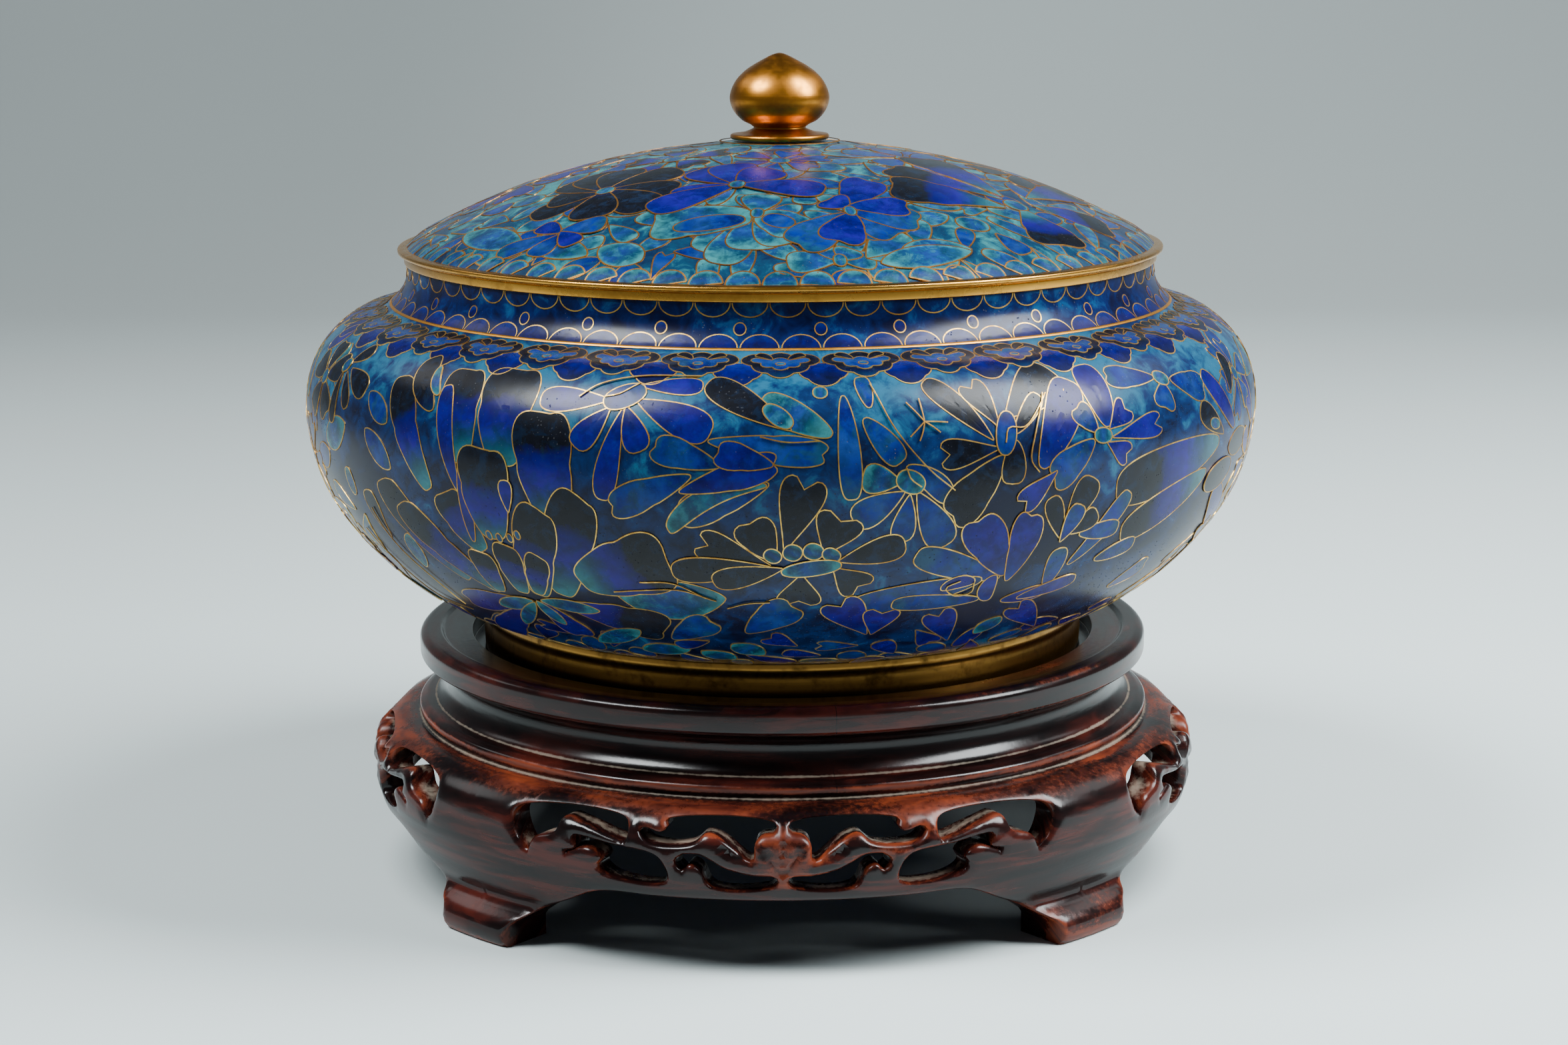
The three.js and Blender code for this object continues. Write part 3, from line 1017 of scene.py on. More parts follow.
def finished_glass(shader: Shader, colour: Expr, broad: Expr) -> Material:
    """Give glass enamel its pits, gloss and faint unevenness.

    Pits are small dark dots, gathered where a broad noise is high.

    Args:
        shader: the material.
        colour: the enamel's colour.
        broad: noise that says where pits gather.

    Returns:
        The finished material.
    """
    pits = shader.dots(1.1).step(0.17, 0.09) * broad.step(0.5, 0.62)
    fine = shader.dots(0.7).step(0.12, 0.05) * shader.noise(6.0).step(0.5, 0.6)
    hole = pits.math("MAXIMUM", pits, fine)
    shader.bump(1.0 - hole + (broad - 0.5) * 0.6, 0.05)
    shader.set(Base_Color=shader.mix(hole * 0.75, colour, (0.008, 0.01, 0.016)), Specular_IOR_Level=0.18,
               Roughness=0.26 + hole * 0.4 + (shader.noise(9.0, 3.0) - 0.5) * 0.08)
    return shader.material


NAVY = srgb(6, 11, 42)
INK = srgb(9, 11, 18)
DEEP_VIOLET = srgb(6, 4, 70)
VIOLET = srgb(18, 7, 92)
COBALT = srgb(5, 26, 92)
SKY = srgb(16, 44, 94)
TEAL = srgb(14, 46, 68)
TURQUOISE = srgb(38, 94, 98)
PETROL = srgb(5, 32, 58)
SLATE = srgb(12, 26, 46)

GLAZES = {
    Glaze.INK: Enamel("ink_enamel", ((0.0, PETROL), (0.14, NAVY), (0.28, INK), (1.0, INK)),
                      SLATE, 0.1, 0.22, 0.7),
    Glaze.DUSK: Enamel("dusk_enamel", ((0.0, TURQUOISE), (0.22, TEAL), (0.4, VIOLET), (0.62, DEEP_VIOLET),
                                       (0.7, INK), (1.0, INK)), PETROL, 0.06, 0.32, 0.3),
    Glaze.VIOLET: Enamel("violet_enamel", ((0.0, COBALT), (0.22, DEEP_VIOLET), (0.7, VIOLET),
                                           (1.0, DEEP_VIOLET)), COBALT, 0.25, 0.34, 0.4),
    Glaze.COBALT: Enamel("cobalt_enamel", ((0.0, DEEP_VIOLET), (0.3, COBALT), (0.6, SKY), (0.8, COBALT),
                                           (1.0, TEAL)), TEAL, 0.6, 0.5, 0.75),
    Glaze.TEAL: Enamel("teal_enamel", ((0.0, TURQUOISE), (0.25, TEAL), (0.5, SKY), (0.75, TEAL),
                                       (1.0, TURQUOISE)), TURQUOISE, 0.85, 0.5, 0.4),
    Glaze.NIGHT: Enamel("night_enamel", ((0.0, NAVY), (0.5, DEEP_VIOLET), (1.0, COBALT)), NAVY, 0.2, 0.5),
}


@dataclass(frozen=True)
class Ground:
    """The mottled enamel between the cells and the plain one of the lining, in one.

    The mesh carries "lining", 1 on the hidden faces, "neck", 1 above the copper line, and "foot", 1 on
    the lower belly, where the ground is drawn darkest, and below 0 on the shoulder, where it is drawn palest.
    """

    name: str
    mottled: Stops
    neck: Stops = ((0.4, srgb(4, 8, 38)), (0.52, srgb(5, 21, 66)), (0.66, srgb(8, 66, 106)))
    lining: Stops = ((0.3, srgb(8, 34, 84)), (0.7, srgb(12, 48, 104)))

    def material(self) -> Material:
        """Build the finish."""
        shader = Shader(self.name)
        broad = shader.noise(26.0, 3.0, 0.4)
        cloud = shader.noise(4.5, 5.0, 0.6, 0.62)
        speck = shader.noise(0.6)
        mottle = broad * 0.5 + cloud * 0.5 - shader.attribute("foot") * 0.1
        deep = shader.ramp(broad * 0.4 + cloud * 0.6, self.neck)
        colour = shader.mix(shader.attribute("neck"), shader.ramp(mottle, self.mottled), deep)
        colour = shader.mix(shader.attribute("lining"), colour, shader.ramp(cloud, self.lining))
        return finished_glass(shader, shader.shade(colour, 0.55 + cloud * 0.6 + speck * 0.3), broad)


BOWL_GROUND = Ground("bowl_ground", (
    (0.37, srgb(8, 13, 34)), (0.5, srgb(8, 33, 72)), (0.6, srgb(24, 76, 102))))
LID_GROUND = Ground("lid_ground", (
    (0.38, srgb(10, 26, 52)), (0.5, srgb(14, 46, 68)), (0.6, srgb(38, 96, 100))))


@dataclass(frozen=True)
class Metal:
    """Gilt or toned brass, with fine turning lines and tarnish that gathers where noise is high."""

    name: str
    colour: Colour
    tarnish: Colour
    tarnish_share: float
    roughness: float
    brushed: float

    def material(self) -> Material:
        """Build the finish; turning lines run round the axis, as noise stretched along each ring."""
        shader = Shader(self.name)
        _, _, z, radius = shader.split()
        rings = shader.node("CombineXYZ", {"X": radius * 5.0, "Z": z * 5.0})[0]
        lines = shader.noise_at(rings, 900.0, 2.0)
        stain = (shader.noise(9.0, 4.0, 0.5, 0.6) * 0.7 + shader.noise(1.4, 3.0) * 0.3).step(0.46, 0.7)
        colour = shader.mix(stain * self.tarnish_share, self.colour, self.tarnish)
        shader.bump(lines, 0.01 * self.brushed)
        shader.set(Base_Color=shader.shade(colour, 0.92 + lines * 0.12), Metallic=1.0,
                   Roughness=self.roughness + stain * 0.16 + (lines - 0.5) * 0.08)
        return shader.material


GILT = Metal("gilt", srgb(206, 150, 62), srgb(110, 66, 22), 0.5, 0.24, 0.6)
BRASS = Metal("brass", srgb(178, 118, 42), srgb(92, 48, 14), 0.5, 0.3, 1.0)
RING_BRASS = Metal("ring_brass", srgb(166, 122, 58), srgb(60, 38, 16), 0.8, 0.3, 1.0)
COPPER = Metal("copper", srgb(206, 142, 48), srgb(150, 94, 32), 0.4, 0.36, 0.3)


@dataclass(frozen=True)
class Wire:
    """The cell wires' metal, bright where it is rubbed and dull elsewhere."""

    name: str
    bright: Colour
    dull: Colour
    roughness: float

    def material(self) -> Material:
        """Build the finish."""
        shader = Shader(self.name)
        worn = (shader.noise(18.0) * 0.6 + shader.noise(1.2) * 0.4).step(0.38, 0.62)
        shader.set(Base_Color=shader.mix(worn, self.dull, self.bright), Metallic=0.9,
                   Roughness=self.roughness + (1.0 - worn) * 0.12)
        return shader.material


GOLD_WIRE = Wire("gold_wire", srgb(204, 166, 84), srgb(144, 104, 46), 0.32)
# Painted shade: the lid's wires are a darker, browner copy of the gold wire, for their dim look where the lid is seen
# at a glancing angle.
SHADED_GOLD_WIRE = Wire("shaded_gold_wire", srgb(158, 112, 50), srgb(104, 68, 28), 0.4)


@dataclass(frozen=True)
class Lacquer:
    """The stand's dark lacquered hardwood, worn to red-brown at its edges and dusty in its grooves.

    The mesh carries "wear", 1 where an edge is rubbed, and "dust", 1 where dust lies. The waist under the
    ring is darkened by its height in metres as painted shade, and one glue seam shows on the ring, an angle before
    the X axis.
    """

    wood: Stops = ((0.4, srgb(12, 5, 5)), (0.5, srgb(28, 10, 9)), (0.62, srgb(62, 21, 15)))
    rubbed: Stops = ((0.35, srgb(60, 19, 11)), (0.7, srgb(128, 54, 26)))
    dust: Colour = srgb(160, 146, 128)
    glue: Colour = srgb(6, 3, 3)
    seam: float = 1.437

    def material(self) -> Material:
        """Build the finish; its grain is noise drawn out sideways, and goes down as it goes in."""
        shader = Shader("lacquer")
        x, y, z, radius = shader.split()
        turn = shader.node("Math", {0: y, 1: x}, operation="ARCTAN2")[0]
        drawn = shader.node("CombineXYZ", {"X": x * 0.12, "Y": y * 0.12, "Z": z + radius * 0.8})[0]
        grain, streak = (shader.noise_at(drawn, scale, 4.0, 0.6) for scale in (900.0, 230.0))
        broad = shader.noise(16.0, 3.0)
        fine = shader.noise(1.1, 3.0, 0.0, 0.6)
        warm = turn.step(-1.25, -0.85) * turn.step(-0.3, -0.7) * z.step(0.044, 0.046) * 0.5
        wear = shader.attribute("wear") + warm + (fine - 0.5) * 0.6
        wear = (wear + (streak - 0.5) * 1.1 + (broad - 0.5) * 0.6).step(0.42, 0.9)
        dust = (shader.attribute("dust") + (fine - 0.5) * 0.9 + (streak - 0.5) * 1.2).step(0.5, 1.1)
        wood, rubbed = shader.ramp(grain * 0.4 + streak * 0.6, self.wood), shader.ramp(grain, self.rubbed)
        colour = shader.mix(dust * 0.42, shader.mix(wear * 0.85, wood, rubbed), self.dust)
        # Painted shade: the recessed waist under the ring, 36.5 to 45.5 mm up, is darkened to half.
        colour = shader.shade(colour, 1.0 - z.step(0.0365, 0.038) * z.step(0.0455, 0.0445) * 0.5)
        off = turn + self.seam
        seam = off.math("ABSOLUTE", off).step(0.0018, 0.0009) * z.step(0.0335, 0.0345)
        shader.bump(grain * 0.5 + fine * 0.3 + streak * 0.4, 0.05)
        shader.set(Base_Color=shader.mix(seam * 0.7, colour, self.glue), Specular_IOR_Level=0.28,
                   Roughness=0.2 + wear * 0.16 + dust * 0.4 + (grain - 0.5) * 0.12)
        return shader.material


# Sub-assemblies

def sideways(profile: Array, distance: float) -> Array:
    """Move a profile along its normals, which point to the right of its direction of travel.

    Args:
        profile: rows of radius and height.
        distance: how far, negative for the other side.

    Returns:
        The moved profile, its radii not under 0.
    """
    moved = profile + distance * left_of(np.gradient(profile, axis=0))
    moved[:, 0] = np.maximum(moved[:, 0], 0.0)
    return moved


def circles(discs: Sequence[Corner], steps: int) -> Array:
    """Draw the outline of discs that all hold the origin, or reach towards it.

    At an angle, the outline is the farthest crossing of the ray with a disc: c.d + sqrt(R^2 - |c|^2 +
    (c.d)^2) for a centre c, a radius R and the ray's direction d.

    Args:
        discs: rows of centre and radius.
        steps: points of the outline.

    Returns:
        The outline.
    """
    turn = np.linspace(0.0, TURN, steps, endpoint=False)
    ahead = np.stack([np.cos(turn), np.sin(turn)], 1)
    far = np.full(steps, 0.1)
    for x, y, radius in discs:
        across = ahead @ np.array([x, y])
        inside = radius ** 2 - x * x - y * y + across ** 2
        far = np.maximum(far, np.where(inside >= 0, across + np.sqrt(np.maximum(inside, 0)), 0))
    return ahead * far[:, None]


def mirrored(*discs: Corner) -> list[Corner]:
    """Give discs with their mirror images across x = 0, for those that lie off it."""
    return [(side * x, y, radius) for x, y, radius in discs for side in ((-1, 1) if x else (1,))]


def arc(width: float, height: float, steps: int) -> Array:
    """Draw half an ellipse from left to right, as (w/2 sin t, h cos t) for t from -90 to 90 degrees."""
    turn = np.linspace(-np.pi / 2, np.pi / 2, steps)
    return np.stack([width / 2 * np.sin(turn), height * np.cos(turn)], 1)


@dataclass(frozen=True)
class Spray:
    """Petals or leaves of one enamel and form, each as base x, base y, tip x, tip y, width, bow.

    The ends are pixels of the photograph, and the width is in millimetres.
    """

    glaze: Glaze
    form: Form
    rows: tuple[tuple[float, ...], ...]

    def petals(self, face: Face, view: View) -> list[Petal]:
        """Find the petals on a face.

        Args:
            face: what they lie on.
            view: the camera that sees them.

        Returns:
            The petals.
        """
        rows = np.array([(*row, 0.0)[:6] for row in self.rows], float)
        bases, tips = face.seen(view, rows[:, 0:2]), face.seen(view, rows[:, 2:4])
        return [Petal(tuple(base), tuple(tip), row[4], self.form, self.glaze, row[5])
                for base, tip, row in zip(bases, tips, rows)]


@dataclass(frozen=True)
class Bloom:
    """A round flower about a centre, given by its azimuth in degrees and its height or radius."""

    azimuth: float
    place: float
    radius: float
    petals: int
    width: float
    form: Form
    glaze: Glaze
    heart: float = 2.2
    turn: float = 0.0

    def build(self, face: Face) -> list[Petal]:
        """Lay the petals around the centre, and its round heart on them.

        Args:
            face: what they lie on.

        Returns:
            The petals and the heart.
        """
        hub = (math.radians(self.azimuth), self.place if face.domed else face.at_height(self.place))
        turns = self.turn + TURN * np.arange(self.petals) / self.petals
        ahead = np.stack([np.cos(turns), np.sin(turns)], 1)
        stretch = 1.0 + 0.12 * np.cos(3 * turns + self.azimuth)
        bases = np.stack(face.roll(ahead * self.heart * 0.8, hub), 1)
        tips = np.stack(face.roll(ahead * (self.radius * stretch)[:, None], hub), 1)
        left, right = np.stack(face.roll(np.array([[-self.heart, 0.0], [self.heart, 0.0]]), hub), 1)
        made = [Petal(tuple(b), tuple(t), self.width, self.form, self.glaze) for b, t in zip(bases, tips)]
        return made + [Petal(tuple(left), tuple(right), self.heart * 1.8, Form.OVAL, Glaze.TEAL)]


@dataclass(frozen=True)
class Scatter:
    """Small leaves scattered over a band of a face, from a seeded generator.

    They lie on a spiral of equal areas between two distances along the profile, turned by the golden
    angle each: s = sqrt(a^2 + (b^2 - a^2) k / n), and overlap in a shuffled order. The turn is squeezed
    into the band's two azimuths, in degrees.
    """

    count: int
    start: float
    end: float
    length: Point
    width: Point
    glazes: tuple[Glaze, ...]
    seed: int
    around: Point = (0.0, 360.0)
    golden: float = 0.381966

    def petals(self, face: Face) -> list[Petal]:
        """Lay the leaves, in the glazes by chance.

        Args:
            face: what they lie on.

        Returns:
            The leaves.
        """
        chance = np.random.default_rng(self.seed)
        k = chance.permutation(self.count)
        s = np.sqrt(self.start ** 2 + (self.end ** 2 - self.start ** 2) * (k + 0.5) / self.count)
        low, high = np.radians(self.around)
        azimuth = low + (high - low) * (k * self.golden % 1.0)
        turn = chance.uniform(0, TURN, self.count)
        length, width = chance.uniform(*self.length, self.count), chance.uniform(*self.width, self.count)
        ahead = np.stack([np.cos(turn), np.sin(turn)], 1) * length[:, None] / 2
        forms = (Form.LEAF, Form.OVAL, Form.PETAL, Form.HEART)
        made = []
        for i in range(self.count):
            base, tip = np.stack(face.roll(np.stack([-ahead[i], ahead[i]]), (azimuth[i], s[i])), 1)
            glaze = self.glazes[chance.integers(len(self.glazes))]
            made.append(Petal(tuple(base), tuple(tip), width[i], forms[i % len(forms)], glaze))
        return made


SWAPPED = {Glaze.INK: Glaze.VIOLET, Glaze.VIOLET: Glaze.INK}


def turned_round(petals: Iterable[Petal]) -> list[Petal]:
    """Carry petals half way round the axis, their violet and black enamels swapped."""
    return [replace(p, base=(p.base[0] + np.pi, p.base[1]), tip=(p.tip[0] + np.pi, p.tip[1]),
                    glaze=SWAPPED.get(p.glaze, p.glaze)) for p in petals]


BOWL_SPRAYS = (
    # lower left
    Spray(Glaze.TEAL, Form.LEAF, ((1088, 898, 921, 885, 12, 0.08),)),
    Spray(Glaze.DUSK, Form.RUFFLED, ((826, 899, 1002, 944, 11),)),
    Spray(Glaze.VIOLET, Form.LOBED, (
        (813, 902, 880, 954, 7), (806, 904, 699, 897, 7), (800, 906, 760, 948, 7))),
    Spray(Glaze.TEAL, Form.LEAF, (
        (812, 900, 900, 916, 4), (806, 900, 850, 936, 3.4), (800, 900, 752, 906, 4),
        (803, 902, 790, 934, 3))),
    # far left
    Spray(Glaze.DUSK, Form.FAN, ((706, 868, 572, 716, 8), (752, 885, 600, 752, 7.5))),
    Spray(Glaze.INK, Form.PETAL, (
        (589, 806, 550, 734, 5), (529, 553, 548, 588, 5), (522, 557, 519, 612, 3.2),
        (517, 557, 498, 634, 3.2), (529, 543, 565, 524, 4))),
    Spray(Glaze.COBALT, Form.LEAF, ((548, 643, 586, 703, 5), (556, 588, 580, 634, 4.5))),
    Spray(Glaze.TEAL, Form.OVAL, ((515, 553, 530, 543, 3), (520, 700, 534, 742, 3.5))),
    # left peony
    Spray(Glaze.DUSK, Form.FAN, (
        (644, 734, 609, 562, 7), (693, 694, 706, 553, 9.5), (757, 700, 779, 553, 12.5),
        (838, 790, 812, 616, 12), (727, 826, 664, 738, 8))),
    Spray(Glaze.VIOLET, Form.LONG, ((688, 736, 674, 578, 4), (712, 812, 697, 690, 3.6))),
    Spray(Glaze.DUSK, Form.FAN, ((744, 808, 722, 671, 11.5),)),
    Spray(Glaze.VIOLET, Form.PETAL, ((764, 768, 757, 720, 3),)),
    Spray(Glaze.DUSK, Form.FAN, (
        (846, 892, 868, 741, 10), (812, 892, 806, 760, 9), (872, 872, 1002, 838, 14))),
    Spray(Glaze.DUSK, Form.FAN, ((787, 888, 757, 815, 6), (752, 886, 718, 826, 6), (809, 890, 807, 832, 5))),
    Spray(Glaze.TEAL, Form.OVAL, (
        (731, 802, 739, 802, 1.9), (746, 806, 754, 806, 1.9), (761, 807, 769, 807, 1.9),
        (773, 802, 781, 802, 1.9))),
    Spray(Glaze.INK, Form.LONG, ((648, 616, 654, 536, 6, 0.1),)),
    Spray(Glaze.TEAL, Form.OVAL, ((658, 593, 663, 550, 2.2, 0.1),)),
    # violet daisy
    Spray(Glaze.VIOLET, Form.PETAL, (
        (915, 600, 812, 597, 5.2), (916, 612, 862, 670, 5), (936, 612, 903, 750, 4.6),
        (940, 610, 960, 678, 5), (955, 600, 1066, 650, 6.6), (960, 579, 1055, 580, 4))),
    Spray(Glaze.COBALT, Form.OVAL, ((906, 606, 970, 584, 4.9),)),
    # leaves in the middle
    Spray(Glaze.COBALT, Form.LOBED, (
        (1062, 662, 1245, 684, 5.5), (1036, 714, 912, 762, 6), (1080, 700, 977, 668, 5.5),
        (1153, 726, 1015, 774, 6.5))),
    Spray(Glaze.TEAL, Form.LONG, ((1150, 728, 1002, 795, 4, -0.12), (1248, 653, 1142, 600, 6))),
    Spray(Glaze.VIOLET, Form.LOBED, ((1019, 738, 1170, 694, 5.5), (1160, 698, 1072, 678, 5))),
    Spray(Glaze.INK, Form.PETAL, ((1187, 646, 1063, 574, 6),)),
    Spray(Glaze.TEAL, Form.OVAL, ((1146, 610, 1188, 640, 3.4), (1219, 589, 1241, 589, 2.6))),
    Spray(Glaze.COBALT, Form.LONG, (
        (1264, 594, 1278, 750, 4.2), (1296, 628, 1352, 694, 4.6), (1304, 612, 1290, 566, 3))),
    # small blue flower
    Spray(Glaze.COBALT, Form.LONG, ((1360, 700, 1425, 748, 4.4, 0.06),)),
    Spray(Glaze.TEAL, Form.PETAL, ((1352, 724, 1294, 716, 5.5),)),
    Spray(Glaze.COBALT, Form.PETAL, (
        (1357, 738, 1280, 782, 5.8), (1365, 742, 1350, 812, 4.6), (1376, 738, 1418, 818, 6.4))),
    Spray(Glaze.TEAL, Form.OVAL, ((1346, 714, 1386, 732, 4.2),)),
    # black orchid
    Spray(Glaze.INK, Form.PETAL, ((1490, 660, 1385, 572, 4.8), (1508, 625, 1575, 556, 9.2))),
    Spray(Glaze.INK, Form.HEART, ((1498, 640, 1448, 574, 5.8), (1500, 672, 1410, 684, 5.6))),
    Spray(Glaze.INK, Form.LOBED, ((1506, 684, 1424, 780, 8),)),
    Spray(Glaze.INK, Form.LONG, ((1522, 660, 1518, 726, 5), (1522, 650, 1556, 592, 3.4))),
    Spray(Glaze.COBALT, Form.OVAL, ((1509, 617, 1506, 683, 4.2),)),
    # right-hand blossoms
    Spray(Glaze.VIOLET, Form.LONG, ((1562, 702, 1600, 570, 8), (1662, 640, 1618, 548, 7))),
    Spray(Glaze.COBALT, Form.LOBED, ((1641, 660, 1577, 722, 6.5), (1646, 648, 1612, 610, 4.6))),
    Spray(Glaze.VIOLET, Form.HEART, (
        (1585, 706, 1530, 760, 5), (1664, 643, 1690, 608, 5.2), (1669, 656, 1742, 632, 4.8),
        (1661, 664, 1694, 684, 4.6))),
    Spray(Glaze.TEAL, Form.OVAL, ((1641, 653, 1667, 653, 2.9),)),
    Spray(Glaze.COBALT, Form.LOBED, (
        (1730, 566, 1654, 564, 5), (1743, 574, 1748, 614, 6), (1754, 569, 1807, 582, 6))),
    Spray(Glaze.TEAL, Form.OVAL, ((1728, 564, 1752, 570, 3.0),)),
    Spray(Glaze.INK, Form.PETAL, ((1845, 590, 1828, 530, 4.5), (1835, 650, 1800, 612, 5))),
    Spray(Glaze.VIOLET, Form.LONG, ((1850, 640, 1800, 560, 5),)),
    Spray(Glaze.TEAL, Form.OVAL, ((1815, 634, 1829, 636, 2.2),)),
    Spray(Glaze.DUSK, Form.LONG, ((1828, 660, 1674, 735, 10), (1808, 706, 1680, 800, 8))),
    # bud and blades
    Spray(Glaze.COBALT, Form.LONG, (
        (1600, 846, 1694, 737, 4.4), (1618, 800, 1676, 790, 4), (1640, 838, 1700, 812, 4.4),
        (1566, 880, 1590, 822, 4.4))),
    Spray(Glaze.INK, Form.PETAL, (
        (1590, 808, 1577, 746, 4), (1596, 792, 1640, 716, 6), (1604, 800, 1645, 768, 4.5))),
    Spray(Glaze.COBALT, Form.PETAL, ((1588, 812, 1620, 756, 4.2),)),
    # black daisy
    Spray(Glaze.INK, Form.HEART, (
        (1177, 826, 1212, 716, 8.4), (1236, 832, 1266, 772, 9), (1250, 852, 1293, 884, 7.2),
        (1156, 849, 1044, 812, 6.5), (1202, 862, 1197, 908, 8.4))),
    Spray(Glaze.INK, Form.LOBED, ((1160, 840, 1122, 782, 7.2),)),
    Spray(Glaze.INK, Form.PETAL, (
        (1258, 842, 1358, 816, 5.8), (1156, 850, 1008, 856, 6), (1174, 852, 1070, 872, 5.4))),
    Spray(Glaze.TEAL, Form.OVAL, (
        (1152, 842, 1166, 826, 3.4), (1183, 840, 1195, 818, 3.6), (1214, 838, 1226, 816, 3.8),
        (1240, 840, 1254, 824, 3.6), (1172, 858, 1262, 846, 3.6))),
    # lower peony
    Spray(Glaze.COBALT, Form.LONG, (
        (1498, 866, 1374, 832, 6), (1472, 868, 1272, 912, 7.5), (1467, 897, 1337, 905, 4.6))),
    Spray(Glaze.VIOLET, Form.LOBED, ((1504, 862, 1463, 776, 8), (1508, 870, 1548, 766, 6.6))),
    Spray(Glaze.VIOLET, Form.OVAL, ((1478, 900, 1490, 862, 3.6, 0.1), (1410, 882, 1462, 870, 3.4, 0.1))),
    Spray(Glaze.VIOLET, Form.LONG, ((1500, 900, 1568, 884, 4.4), (1524, 896, 1612, 866, 4.2))),
    # low leaves
    Spray(Glaze.VIOLET, Form.HEART, (
        (1299, 950, 1253, 900, 8), (1306, 950, 1326, 912, 7), (1420, 960, 1404, 916, 6.5),
        (1550, 938, 1520, 906, 6))),
    Spray(Glaze.COBALT, Form.LOBED, (
        (1120, 949, 1192, 906, 8), (1010, 958, 1070, 930, 7), (1660, 880, 1720, 842, 6))),
    Spray(Glaze.TEAL, Form.LEAF, (
        (900, 962, 960, 944, 5), (1460, 950, 1500, 924, 5), (640, 850, 612, 800, 5))),
)

BOWL_THREADS = (
    ((1304, 577), (1340, 640), (1392, 702), (1432, 735)),
    ((870, 596), (900, 578), (960, 566), (1054, 566)),
    ((908, 596), (930, 592), (946, 584), (962, 576)),
    ((1386, 633), (1372, 618), (1358, 605)),
    ((1386, 633), (1382, 616), (1377, 599)),
    ((1386, 633), (1402, 633), (1421, 634)),
    ((1386, 633), (1398, 640), (1410, 649)),
    ((1386, 633), (1384, 648), (1379, 662)),
    ((1386, 633), (1376, 644), (1365, 656)),
    ((1091, 911), (1120, 904), (1155, 902)),
    ((1075, 900), (1020, 884), (960, 884), (922, 886)),
    ((1060, 896), (1010, 874), (960, 872)),
    ((1562, 590), (1552, 650), (1546, 690), (1558, 708)),
    ((1566, 590), (1556, 612), (1536, 640), (1512, 642), (1508, 664)),
    ((1360, 702), (1366, 718), (1382, 730)),
    ((1440, 870), (1418, 880), (1432, 892), (1456, 886), (1460, 872)),
    ((700, 904), (660, 872), (604, 822), (560, 760)),
    ((712, 912), (660, 890), (604, 846), (552, 790)),
    ((1140, 656), (1180, 664), (1230, 662)),
)

SIDE_BLOOMS = (
    Bloom(90, 104, 15.5, 8, 6.6, Form.PETAL, Glaze.INK, 3.0, 0.2),
    Bloom(88, 78, 12.0, 6, 7.4, Form.LOBED, Glaze.DUSK, 2.4, 0.5),
    Bloom(105, 91, 10.0, 6, 5.0, Form.HEART, Glaze.COBALT, 1.8, 0.0),
    Bloom(74, 90, 9.5, 7, 4.0, Form.PETAL, Glaze.VIOLET, 1.8, 0.6),
    Bloom(111, 109, 9.5, 5, 6.0, Form.LOBED, Glaze.VIOLET, 1.7, 0.4),
    Bloom(68, 109, 9.0, 6, 4.8, Form.HEART, Glaze.COBALT, 1.6, 0.1),
    Bloom(109, 74, 9.0, 7, 4.2, Form.PETAL, Glaze.INK, 1.7, 0.3),
    Bloom(68, 74, 8.0, 5, 5.0, Form.HEART, Glaze.COBALT, 1.5, 0.9),
)


